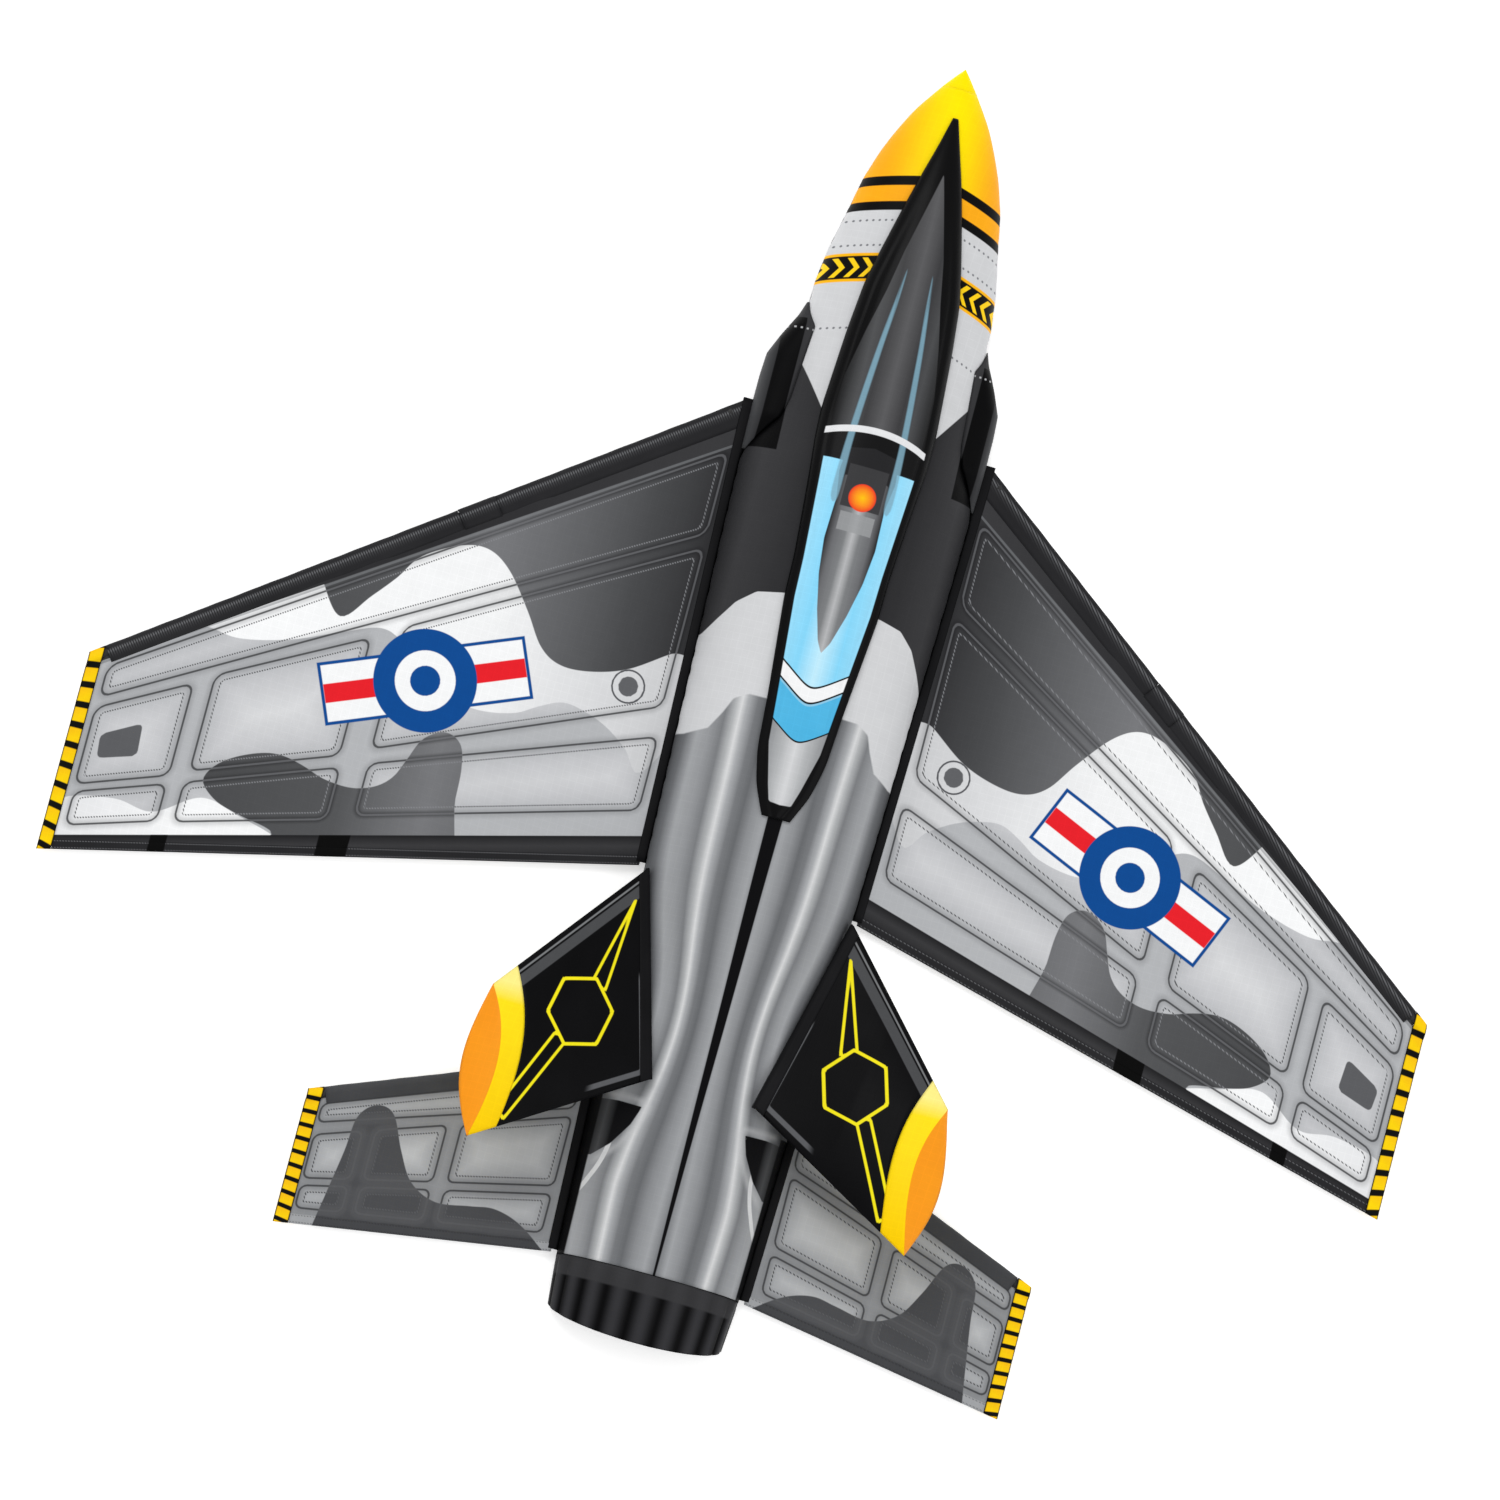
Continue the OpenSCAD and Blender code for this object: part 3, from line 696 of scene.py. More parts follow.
def body_print(s):
    side, station = s.side(), s.station()
    bent = station - side * 0.24
    flow = s.field("flow") + (s.noise(9, 1, (1, 0.2, 1)) - 0.5) * 16
    shine = s.ramp(flow, 0, 120, [
        (0, "#737578"), (8, "#9FA1A4"), (18, "#8C8E91"), (27, "#67696C"), (35, "#77797C"), (42, "#A9ABAE"),
        (46, "#D6D7D8"), (50, "#AFB1B3"), (56, "#7A7C7F"), (64, "#96989B"), (72, "#A4A6A9"), (80, "#6C6E71"),
        (90, "#3E3F41"), (104, "#5A5B5E"), (118, "#707275")])
    glint = s.line(flow - 62 - ((station - 905) * 0.09).squared(), 1.8) * s.mask(26 - abs(station - 921), 12)
    shine = s.mix(shine, "#E4E5E6", glint * 0.8)
    p = Print(s, s.mix("#C9CACC", "#D6D7D9", s.noise(9)))
    dark = s.ramp(side, 0, 96, [(0, "#232325"), (50, "#2E2E30"), (80, "#3C3C3E"), (96, "#2A2A2C")])
    p.lay(dark, s.mask(s.field("dark")))
    p.lay("#050506", s.mask((side - 72).least(station - 229).least(339 - station)))
    p.lay("#D3D4D6", s.mask(s.field("lobe")))
    p.lay(shine, s.mask(s.field("metal"), 0.8))
    vent = s.field("vent")
    p.lay("#C6C7C9", s.line(vent + 4.5, 2.2, 2.5) * s.mask(68 - side, 4) * 0.45)
    hollow = s.ramp(side, 40, 84, [(44, "#08080A"), (60, "#111113"), (67, "#4A4B4D"), (76, "#08080A")])
    p.lay(hollow, s.mask(vent))
    p.lay("#08080A", s.mask(s.field("spine")))
    # painted shade: a near-black band down each side of the body towards the tail
    p.lay("#0B0B0C", s.mask(s.field("shaded_flank"), 0.6))
    for row in (131, 152, 221):
        dot = ((bent - row).squared() + (((side * (1 / 4.6)).fract() - 0.5) * 4.6).squared()).root()
        p.lay("#77797D", s.mask(0.9 - dot, 0.3))
    off_band = abs(bent - 170.5)
    p.lay("#FDB813", s.mask(12 - off_band))
    p.lay("#0A0A0A", s.mask(9.6 - off_band))
    peaks = ((side - off_band * 0.75) * (1 / 10.5)).fract()
    p.lay("#FFD21A", s.mask(8 - off_band) * s.mask(0.19 - abs(peaks - 0.5), 0.03))
    nose = s.mix(chosen("nose_yellow"), chosen("nose_orange"), s.mask(side - 25, 24))
    p.lay("#0A0A0A", s.mask(122.5 - bent))
    p.lay(chosen("nose_orange"), s.mask(115 - bent))
    p.lay("#0A0A0A", s.mask(101.5 - bent))
    return p.lay(nose, s.mask(93.5 - bent))


def canopy_print(s):
    side, station = s.side(), s.station()
    bow = station - side * side * 0.0045
    vee = station + (side * side + 50.0).root() * 0.8 - 5.5
    grey = s.ramp(side, 0, 40, [(0, "#5A5A5C"), (14, "#3A3A3C"), (24, "#4A4B4D"), (38, "#161617")])
    p = Print(s, s.mix(grey, "#101011", s.mask(bow - 311)))
    sky = s.ramp(side, 0, 38, [(0, "#C2ECFC"), (16, "#86D6F8"), (38, "#A2E0FA")])
    p.lay(sky, s.mask(station - 337))
    p.lay("#232325", s.mask(s.field("cockpit")))
    fairing = s.ramp(side, 0, 21, [(0, "#B5B6B8"), (6, "#7C7E80"), (14, "#6A6B6E"), (20, "#2A2A2C")])
    p.lay(fairing, s.mask(s.field("fairing")))
    p.lay("#3A3A3C", s.mask((16 - side).least(372 - station).least(station - 338)))
    p.lay("#9A9C9E", s.mask((14 - side).least(391 - station).least(station - 376)) * 0.8)
    disc = (side * side + (station - 362.5).squared()).root()
    p.lay(s.ramp(disc, 0, 11, [(0, "#FFC20E"), (6, "#F9901D"), (11, "#EE3A23")]), s.mask(11 - disc))
    p.lay("#7FA9BC", s.mask(s.field("streak"), 0.8) * 0.8)
    p.lay("#8FC9E6", s.mask(vee - 517))
    p.lay(s.mix("#3FAFE0", "#5CBCE6", s.noise(30)), s.mask(vee - 532))
    p.lay("#F4F5F6", s.mask(vee - 517) * s.mask(529 - vee))
    p.lay("#101010", s.line(vee - 517, 0.8) + s.line(vee - 529.5, 0.8))
    p.lay(s.ramp(side, 0, 26, [(0, "#D4D5D7"), (10, "#B2B4B6"), (24, "#8A8C8F")]), s.mask(vee - 561))
    p.lay("#101010", s.line(vee - 561, 0.7))
    colour = s.mix("#060607", p.colour, s.mask(s.field("glass")))
    return s.mix(colour, "#E3E4E6", s.line(bow - 308.5, 2.7) * s.mask(41 - side))


def fin_print(s):
    rim = s.field("rim")
    p = Print(s, s.mix("#050506", "#0D0D0F", s.noise(25)))
    front = s.field("front_edge")
    p.lay("#4A4B4D", s.mask(front - 6) * s.mask(15 - front) * s.mask(rim - 7))
    # painted highlight: a thin light line along the front edge's grey stripe
    p.lay("#8E9092", s.line(front - 4.6, 0.8) * s.mask(rim - 4) * 0.7)
    p.lay("#5C5D60", s.mask(rim - 5.5) * s.mask(9.5 - rim) * s.mask(s.field("lower"), 4))
    motif = s.line(s.field("motif"), 1.1) * s.mask(s.field("hub") * -1)
    motif = motif.most(s.line(s.field("hub"), 1.3))
    return p.lay(chosen("motif_yellow"), motif)


def fin_tip_print(s):
    yellow = s.ramp(s.station(), 800, 940, [(806, "#FFF08A"), (822, "#FFE21A"), (930, "#FFD000")])
    return s.mix(yellow, s.mix("#F7901E", "#FBA31C", s.noise(14)), s.mask(s.field("end") - 0.5, 0.04))


def nozzle_print(s):
    rib = s.field("rib")
    # painted highlights on the crests of the ribs
    colour = s.mix("#040405", "#3A3A3D", rib * rib * 0.8)
    return s.mix(colour, "#39393B", s.mask(1009 - s.station(), 1.0) * 0.8)


def intake_print(s):
    side, station = s.side(), s.station()
    p = Print(s, s.ramp(side, 60, 98, [(62, "#3A3A3C"), (88, "#2C2C2E"), (96, "#47484A")]))
    stripe = s.mask((side - 73).least(89 - side).least(station - 229))
    p.lay("#050506", stripe)
    row = s.mask(0.17 - abs((side * (1 / 4.6)).fract() - 0.5), 0.06) * s.line(station - 238, 0.7)
    return p.lay("#C4C5C7", row * 0.8)


def belly_print(s):
    """Plain dark cloth with a stitched seam along each side and a row of stitches at each former."""
    colour = plain("#222224", "#2D2D30")(s)
    rows = s.line(s.side() - 58, 0.5).most(s.line(s.side() - 61, 0.5))
    for at in FORMERS[1:-1]:
        rows = rows.most(s.line(s.station() - at - 1.5, 0.5))
    return s.mix(colour, "#7C7D80", rows * dashes(s) * 0.8)


def tape_rows(s):
    """A row of stitches near each edge of a hem tape."""
    return s.line((abs(s.field("across") - 0.5) - 0.34) * HEM, 0.35) * dashes(s)


def binding_print(s):
    return s.mix(plain("#1F1F21", "#2E2E30")(s), "#77787B", tape_rows(s) * 0.7)


def hem_print(s):
    return s.mix(binding_print(s), "#050505", s.mask(s.field("gap")))


def tail_hem_print(s):
    """The tailplane's print carries on over its hem."""
    colour = s.mix("#A2A4A7", "#454649", s.mask(s.field("dark")))
    return s.mix(colour, "#2C2C2E", tape_rows(s) * 0.6)


# ---- swept sails ----------------------------------------------------------------------


def edge_y(panel, side, rear):
    """The station of a panel's front or rear edge at a distance from the middle."""
    (fx, fs), (tx, ts), (rx, rs), (bx, bs) = panel["corners"]
    if rear:
        return bs + (side - bx) * (rs - bs) / (rx - bx)
    return fs + (side - fx) * (ts - fs) / (tx - fx)


def root_side(panel, station):
    (fx, fs), _, _, (bx, bs) = panel["corners"]
    return fx + (station - fs) * (bx - fx) / (bs - fs)


def rear_gap(panel, side):
    """Positive inside the black breaks of the rear band."""
    gap = np.full(np.shape(side), -9.0)
    for at, width in panel["rear_gaps"]:
        gap = np.maximum(gap, width / 2 - np.abs(side - at))
    return gap


def sail_fields(panel, artwork):
    """Everything that the sails' prints read."""
    (fx, fs), (tx, ts), (rx, rs), (bx, bs) = panel["corners"]
    front_len = math.hypot(tx - fx, ts - fs)
    rear_len = math.hypot(rx - bx, rs - bs)

    def fields(side, station, height):
        share = (side - fx) / (tx - fx)
        from_front = (station - edge_y(panel, side, False)) * (tx - fx) / front_len
        from_rear = (edge_y(panel, side, True) - station) * (rx - bx) / rear_len
        wide = [panel[k][0] + (panel[k][1] - panel[k][0]) * share for k in ("front_band", "rear_band")]
        return {
            "out": side,
            "root": side - root_side(panel, station),
            "front_band": wide[0] - from_front,
            "rear_band": wide[1] - from_rear,
            "rear_gap": rear_gap(panel, side),
            **artwork(side, station),
        }

    return fields


def wing_artwork(side, station):
    seam = np.maximum.reduce([rounded(side, station, p, 7) for p in WING_SEAMS])
    dark = np.maximum(inside(side, station, WING_DARK_ROOT, True), inside(side, station, WING_DARK_REAR, True))
    white = np.maximum(inside(side, station, WING_WHITE, True), inside(side, station, WING_WHITE_REAR, True))
    dx, dy = side - BADGE["at"][0], station - BADGE["at"][1]
    a = math.radians(BADGE["turn"])
    return {
        "seam": seam,
        "dark": dark,
        "white": white,
        "hatch": rounded(side, station, WING_HATCH, 4),
        "port": np.hypot(side - WING_PORT[0], station - WING_PORT[1]),
        "badge_x": dx * math.cos(a) + dy * math.sin(a),
        "badge_y": dy * math.cos(a) - dx * math.sin(a),
        "badge": np.hypot(dx, dy),
    }


def tail_artwork(side, station):
    return {
        "seam": np.maximum.reduce([rounded(side, station, p, 5) for p in TAIL_SEAMS]),
        "dark": inside(side, station, TAIL_DARK, True),
    }


def sail_grid(panel):
    """A slightly puffed sheet between the sleeve, the hem, the root and the tip band."""
    tx = panel["corners"][1][0] - panel["tip_band"]
    (_, fs), _, _, (_, bs) = panel["corners"]
    u, v = np.meshgrid(np.linspace(0, 1, panel["columns"]), np.linspace(0, 1, panel["rows"]), indexing="ij")
    station = fs + (bs - fs) * v
    for _ in range(3):
        left = root_side(panel, station) + 0.7
        side = left + (tx - left) * u
        first, last = edge_y(panel, side, False) + 9.5, edge_y(panel, side, True) - 2.5
        station = first + (last - first) * v
    held = np.sin(np.pi * v) ** 0.8 * np.sin(np.pi * np.clip(u * 1.02, 0, 1)) ** 0.5
    battens = 0.55 + 0.45 * np.abs(np.sin(np.pi * (side - 200) / 122.5))
    creases = 0.35 * np.sin(side * 0.11 + station * 0.045) * np.sin(station * 0.06 - side * 0.02)
    height = SAIL_Z / MM + 0.15 + held * (look(panel["puff"]) * battens + creases)
    return np.stack([side, station, height], -1)


def along_front(panel):
    """The front edge's start, direction and inward normal in the plan, and its length."""
    (fx, fs), (tx, ts) = panel["corners"][:2]
    length = math.hypot(tx - fx, ts - fs)
    d = np.array([(tx - fx) / length, (ts - fs) / length])
    return np.array([fx, fs]), d, np.array([-d[1], d[0]]), length


def sleeve_grid(panel, start, end, lower=True):
    """Cloth wrapped round the front rod and sewn to the sail behind it by a narrowing flange."""
    origin, d, inward, length = along_front(panel)
    wide, narrow = panel["flange"]
    angles = np.radians(np.linspace(118, -150 if lower else 0, 22 if lower else 12))
    section = [(-14.5, 3.1), (-11, 3.25), (-7.5, 3.6)]
    section += [(SLEEVE_R * 0.98 * math.cos(a), SLEEVE_R * 0.98 * math.sin(a)) for a in angles]
    if lower:
        section += [(-6.4, -0.6), (-8.4, 1.1), (-11, 1.9), (-14.5, 2.1)]
    section = np.array(section)
    rings = []
    for at in np.linspace(start, end, max(8, int((end - start) / 4))):
        flat = np.clip((at - 4) / 26, 0.25, 1) * np.clip((length - at + 6) / 16, 0.4, 1)
        flat = flat if lower else 1.0
        ripple = 1 - 0.03 * (1 + math.sin(at * 0.21) * math.sin(at * 0.067))
        flange = wide + (narrow - wide) * at / length
        p = np.where(section[:, 0] < -7.5, -7.5 + (section[:, 0] + 7.5) * flange / 7, section[:, 0])
        q = 2.5 + (section[:, 1] - 2.5) * flat
        grow = np.where(section[:, 0] > -6, ripple, 1)
        plan = origin + d * at + inward * SLEEVE_R
        side, station = plan[0] - inward[0] * p * grow, plan[1] - inward[1] * p * grow
        rings.append(np.stack([side, station, SLEEVE_R + q * grow], -1))
    return np.array(rings)


def strip_grid(stations_of, sides, low, high, rise=0.25):
    """A flat tape with rounded edges; stations_of gives its front and rear at each side."""
    rings = []
    mid, half = (low + high) / 2, (high - low) / 2
    for i, x in enumerate(sides):
        a, b = stations_of(x)
        wave = rise * math.sin(i * 0.7) * math.sin(i * 0.23)
        ring = []
        for t, h in [(0, 0), (0.06, 0.8), (0.2, 1), (0.5, 1.0), (0.8, 1), (0.94, 0.8), (1, 0),
                     (0.94, -0.8), (0.8, -1), (0.5, -1), (0.2, -1), (0.06, -0.8)]:
            ring.append((x, a + (b - a) * t, mid + half * h + wave))
        rings.append(ring)
    return np.array(rings)


def seam_tape():
    return cloth("seam_tape", plain("#0C0C0D", "#1C1C1E"))


def seam_strip(panel, name, sign):
    """Tape over the folding seam between the fuselage and a sail."""
    (fx, fs), _, _, (bx, bs) = panel["corners"]
    rings = []
    for at in np.linspace(fs + 2, bs - 2, 60):
        x = root_side(panel, at)
        tuck = min(-1.1, float(body_half_width(at)) - x - 0.8)
        profile = [(tuck, 0.75), (0.3, 1.5), (2.5, 1.35), (5.5, 1.15), (6.2, 0.85), (5.5, 0.7), (2.5, 0.7),
                   (0.3, 0.65)]
        rings.append([(x + a, at, SAIL_Z / MM + b + 0.1) for a, b in profile])
    obj = solid(name, mirrored(np.array(rings), sign))
    hand_in(obj, None, "dark_band", seam_tape())
    mid = (fs + bs) / 2
    y = NOSE_Y - mid * MM
    a = np.array([root_side(panel, mid) * MM, y])
    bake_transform(obj)


def tip_band_grid(panel, slope):
    """Rings of the stiff band over a sail's tip, which swells over the front sleeve."""
    x_out = panel["corners"][1][0]
    x_tip = x_out - panel["tip_band"]
    rings = []
    for f in np.linspace(0, 1, 110) ** 1.25:
        over, under = [], []
        for t in np.linspace(0, 1, 9):
            x = x_tip + (x_out - x_tip) * t
            a, b = edge_y(panel, x, False) + 0.4, edge_y(panel, x, True)
            at = (b - a) * f
            arch = math.sqrt(max(0, (SLEEVE_R + 0.5) ** 2 - (at * slope - SLEEVE_R) ** 2))
            flat = 7.6 + 1.0 * (1 - abs(2 * t - 1) ** 6) + 0.12 * math.sin(f * 40)
            top = max(flat, SLEEVE_R + arch + 0.35)
            thick = 0.5 + 1.5 * min(1, max(0, at * slope - 11) / 3) * (1 - abs(2 * t - 1) ** 6)
            over.append((x, a + at, top))
            under.append((x, a + at, top - thick))
        rings.append(over + under[::-1])
    return np.array(rings)


def paint_round(obj, grid, last):
    """Stores how far round its rings each point of a sleeve lies, from 0 to last."""
    ring = np.broadcast_to(np.linspace(0, last, grid.shape[1]), grid.shape[:2]).ravel()
    paint(obj, lambda side, station, height: {"across": ring})


def make_swept_panel(panel, label, body, artwork, print_of):
    """A sail with its sleeve, hem, tip band and root seam, on both sides."""
    wing = label == "wing"
    _, d, _, length = along_front(panel)
    x_out = panel["corners"][1][0]
    x_tip = x_out - panel["tip_band"]
    upper = cloth(f"{label}_print", print_of, stitch=lambda s: s.line(s.field("seam") - 5.2, 0.5) * dashes(s))
    under = cloth(f"{label}_print_back", muted(print_of), rough=0.6)
    if wing:
        binding = cloth("hem_tape", binding_print, rough=0.55)
        hem_material = cloth("rear_hem_tape", hem_print, rough=0.55)
    else:
        binding = cloth("grey_hem_tape", plain("#3A3B3D", "#505154"), rough=0.55)
        hem_material = cloth("printed_hem_tape", tail_hem_print, rough=0.55)
    spans = [(3, SADDLE_GAP[0]), (SADDLE_GAP[1], length - 13)] if wing else [(3, length - 13)]

    def hem_fields(side, station, height):
        return {
            "across": (station - edge_y(panel, side, True) + HEM) / HEM,
            "gap": rear_gap(panel, side),
            "dark": artwork(side, station)["dark"],
        }

    def band_fields(side, station, height):
        first, last = edge_y(panel, side, False), edge_y(panel, side, True)
        return {
            "along": (station - first) / (last - first) * 10,
            "across": (side - x_tip) / (x_out - x_tip),
        }

    for name, sign in SIDES:
        rides = f"{body}_{name}"
        sail = single(f"{label}_cloth_{name}", mirrored(sail_grid(panel), sign))
        paint(sail, sail_fields(panel, artwork))
        thicken(sail, 0.0004, upper, under)
        hand_in(sail, rides, "sail_print", replaces=[f"{body}_sail_{name}"])

        for i, (start, end) in enumerate(spans):
            grid = sleeve_grid(panel, start, end)
            sleeve = solid(f"{label}_sleeve_{name}_{i}", mirrored(grid, sign))
            paint_round(sleeve, grid, 1)
            node = f"spar_sleeve_{name}" if wing else f"{body}_sleeve_{name}"
            hand_in(sleeve, rides, "dark_band", binding, replaces=[node])
        if wing:
            grid = sleeve_grid(panel, SADDLE_GAP[0] + 0.2, SADDLE_GAP[1] - 0.2, lower=False)
            flap = single(f"wing_saddle_flap_{name}", mirrored(grid, sign))
            paint_round(flap, grid, 0.5)
            modify(flap, "SOLIDIFY", thickness=0.0003, offset=1)
            hand_in(flap, rides, "dark_band", binding)

        sides = np.linspace(panel["corners"][3][0] + 3, x_tip - 0.2, 90)
        grid = strip_grid(lambda x: (edge_y(panel, x, True) - HEM, edge_y(panel, x, True)), sides, 6.7, 8.5)
        tape = solid(f"{label}_hem_{name}", mirrored(grid, sign))
        paint(tape, hem_fields)
        hand_in(tape, rides, "dark_band", hem_material, replaces=[f"{body}_hem_{name}"])

        grid = tip_band_grid(panel, math.cos(math.atan2(d[1], d[0])))
        band = solid(f"{label}_tip_band_{name}", mirrored(grid, sign))
        paint(band, band_fields)
        material = cloth("hazard_tape", hazard_print, rough=0.45)
        hand_in(band, rides, "hazard_band", material, replaces=[f"{body}_tip_band_{name}"])
        seam_strip(panel, f"{label}_root_seam_{name}", sign)


def make_wings():
    make_swept_panel(WING, "wing", "wing", wing_artwork, wing_print)


def make_tailplanes():
    make_swept_panel(TAILPLANE, "tail", "stabiliser", tail_artwork, tail_print)


# ---- fuselage -------------------------------------------------------------------------


def body_half_width(station):
    return curve_at(BODY_WIDTH, station)


def body_rise(station):
    return curve_at(BODY_HEIGHT, station) * (BODY_TOP - BELLY_Z) / (50 * MM)


def slack_at(station):
    """0 on a former, and 1 halfway between two."""
    f = np.array(FORMERS, float)
    i = np.clip(np.searchsorted(f, station) - 1, 0, len(f) - 2)
    return np.sin(np.pi * np.clip((station - f[i]) / (f[i + 1] - f[i]), 0, 1)) ** 2


def body_section(s, a):
    """Points of the skin's arch at stations s and angles a from the right-hand edge."""
    point = np.clip(s / NOSE_CAP, 0.02, 1) ** 0.93
    behind_cap = np.maximum(s, NOSE_CAP)
    w = np.where(s < NOSE_CAP, point * 14.6, body_half_width(behind_cap))
    h = np.where(s < NOSE_CAP, point**0.32 * body_rise(np.array(float(NOSE_CAP))), body_rise(behind_cap))
    sag = 1 - look("skin_slack") * slack_at(s) * np.sin(a)
    behind = np.clip((s - 500) / 100, 0, 1)
    pucker = 0.5 * np.sin(s * 0.33 + 2 * np.sin(s * 0.05)) * np.exp(-np.sin(a) / 0.16)
    pucker = pucker * np.clip((s - 60) / 60, 0, 1)
    folds = 0.6 * np.sin(s * 0.021 + 3 * a) * np.sin(s * 0.008 + 5 * a) * behind * np.sin(a)
    side = (w - 0.1 + np.minimum(pucker, 0)) * np.cos(a) * sag
    height = BELLY_Z / MM + np.maximum(h * sag + folds - 0.6 * behind, 0.3) * np.sin(a)
    return np.stack([side, s, height], -1)


def body_fields(side, station, height):
    line = 6 - 5 * np.clip((station - 623) / 366, 0, 1)
    pinch = np.exp(-((station - 800) / 75) ** 2) * 0.42 + np.clip((station - 930) / 60, 0, 1) * 0.1
    return {
        "flow": side * (1 + pinch) + 3 * np.sin((station - 560) / 90) * np.exp(-((side - 45) / 30) ** 2),
        "dark": inside(side, station, BODY_DARK),
        "lobe": inside(side, station, BODY_LOBE),
        "metal": inside(side, station, BODY_METAL),
        "vent": inside(side, station, BODY_VENT),
        "spine": np.minimum(line - side, station - 600),
        # where the painted shade down the body's sides near the tail lies
        "shaded_flank": np.minimum(side - 72.5 + (station - 863) * 0.02, np.minimum(station - 862, 994 - station)),
    }


def make_fuselage():
    s, a = np.meshgrid(np.linspace(17.6, 993, 330), np.linspace(0, math.pi, 97), indexing="ij")
    grid = body_section(s, a)
    skin = single("fuselage_cloth", grid)
    paint(skin, body_fields)
    upper = cloth("body_nylon", body_print, rough=0.45)
    thicken(skin, 0.0006, upper, cloth("body_nylon_back", muted(body_print), rough=0.6))
    hand_in(skin, "fuselage", "fuselage_print", replaces=["fuselage_skin"])

    s, a = np.meshgrid(np.linspace(0.2, 18.2, 16), np.linspace(0, math.pi, 65), indexing="ij")
    arch = body_section(s, a)
    floor = arch[:, ::-1] * [1, 1, 0] + [0, 0, 7.1]
    nose = solid("nose_pad", np.concatenate([arch, floor[:, 1:-1]], 1))
    paint(nose, body_fields)
    hand_in(nose, "fuselage", "nose_cloth", upper, replaces=["nose_cap"])


def make_belly():
    stations = np.linspace(18.4, 1030, 260)
    across = np.linspace(-1, 1, 41)
    s, t = np.meshgrid(stations, across, indexing="ij")
    w = body_half_width(s) - 0.3
    height = 7.45 + 0.2 * np.sin(s * 0.05) * np.cos(t * 4) * (1 - t * t)
    grid = np.stack([t * w, s, height], -1)
    belly = single("belly_cloth", grid)
    modify(belly, "SOLIDIFY", thickness=0.0004, offset=0)
    material = cloth("belly_nylon", belly_print, rough=0.6)
    hand_in(belly, "fuselage", "belly_cloth", material, replaces=["belly_panel"])


def skin_height(side, station):
    w, h = body_half_width(station), body_rise(station)
    return BELLY_Z / MM + h * np.sqrt(np.clip(1 - (side / w) ** 2, 0, 1))


def make_canopy():
    """A wadded dome with a rolled black border."""
    first, last = CANOPY_ENDS
    stations = [np.linspace(first, 60, 10)[:-1], np.linspace(60, 606, 190)[:-1], np.linspace(606, last, 10)]
    across = np.sin(np.linspace(-math.pi / 2, math.pi / 2, 65))
    s, t = np.meshgrid(np.concatenate(stations), across, indexing="ij")
    w = curve_at(CANOPY_WIDTH, s)
    run = (s - first) / (last + 1 - first)
    rise = 1 + look("canopy_rise") * np.sin(np.pi * np.clip(run, 0, 1) ** 0.75)
    base = skin_height(t * w, s)
    dome = rise * np.sqrt(np.clip(1 - t * t, 0, 1)) ** 0.8
    groove = 0.9 * np.exp(-((w * (1 - np.abs(t)) - 9) / 2.2) ** 2) * np.clip((s - 120) / 80, 0, 1)
    top = base + 0.9 + dome - groove
    upper = np.stack([t * w, s, top], -1)
    lower = np.stack([t * w, s, base + 0.35], -1)[:, ::-1]
    obj = solid("canopy_pad", np.concatenate([upper, lower], 1))

    def fields(side, station, height):
        return {
            "glass": inside(side, station, GLASS + [(-40, 612), (-40, 93)]),
            "fairing": inside(side, station, FAIRING + [(-20, 489), (-20, 345)]),
            "cockpit": inside(side, station, COCKPIT + [(-20, 372), (-20, 322)]),
            "streak": inside(side, station, STREAK, True),
        }

    paint(obj, fields)
    material = cloth("canopy_nylon", canopy_print, rough=0.35, bump=0.12, gloss=0.08)
    hand_in(obj, "fuselage", "canopy_print", material, replaces=["canopy_panel"])


def make_intakes():
    """Wadded cheeks that flare out of the skin and close up against it."""
    foot = INTAKE_FOOT
    for name, sign in SIDES:
        rings = []
        for s in np.linspace(214.5, 341, 44):
            w, h = float(body_half_width(s)), float(body_rise(s))
            outer = max(np.interp(s, *zip(*INTAKE_WIDTH)), w + 0.5)
            swell = min(1, (s - 208) / 26) * min(1, (352 - s) / 40)
            top = foot + (INTAKE_CROWN - foot) * swell
            skin = []
            for t in np.linspace(0, 1, 13):
                rise = (top - foot) * t
                skin.append((w * math.sqrt(1 - min(1, ((foot - 8 + rise) / h) ** 2)) + 0.35, s, foot + rise))
            peak = skin[-1][0]
            cheek = [(peak + (outer - peak) * math.sin(b) ** 0.9, s, foot + (top - foot) * math.cos(b) ** 0.8)
                     for b in np.linspace(0, math.pi / 2, 17)[1:]]
            rings.append(skin + cheek)
        obj = solid(f"intake_pad_{name}", mirrored(np.array(rings), sign))
        material = cloth("intake_nylon", intake_print, rough=0.5)
        hand_in(obj, "fuselage", "intake_cloth", material, replaces=[f"intake_{name}"])


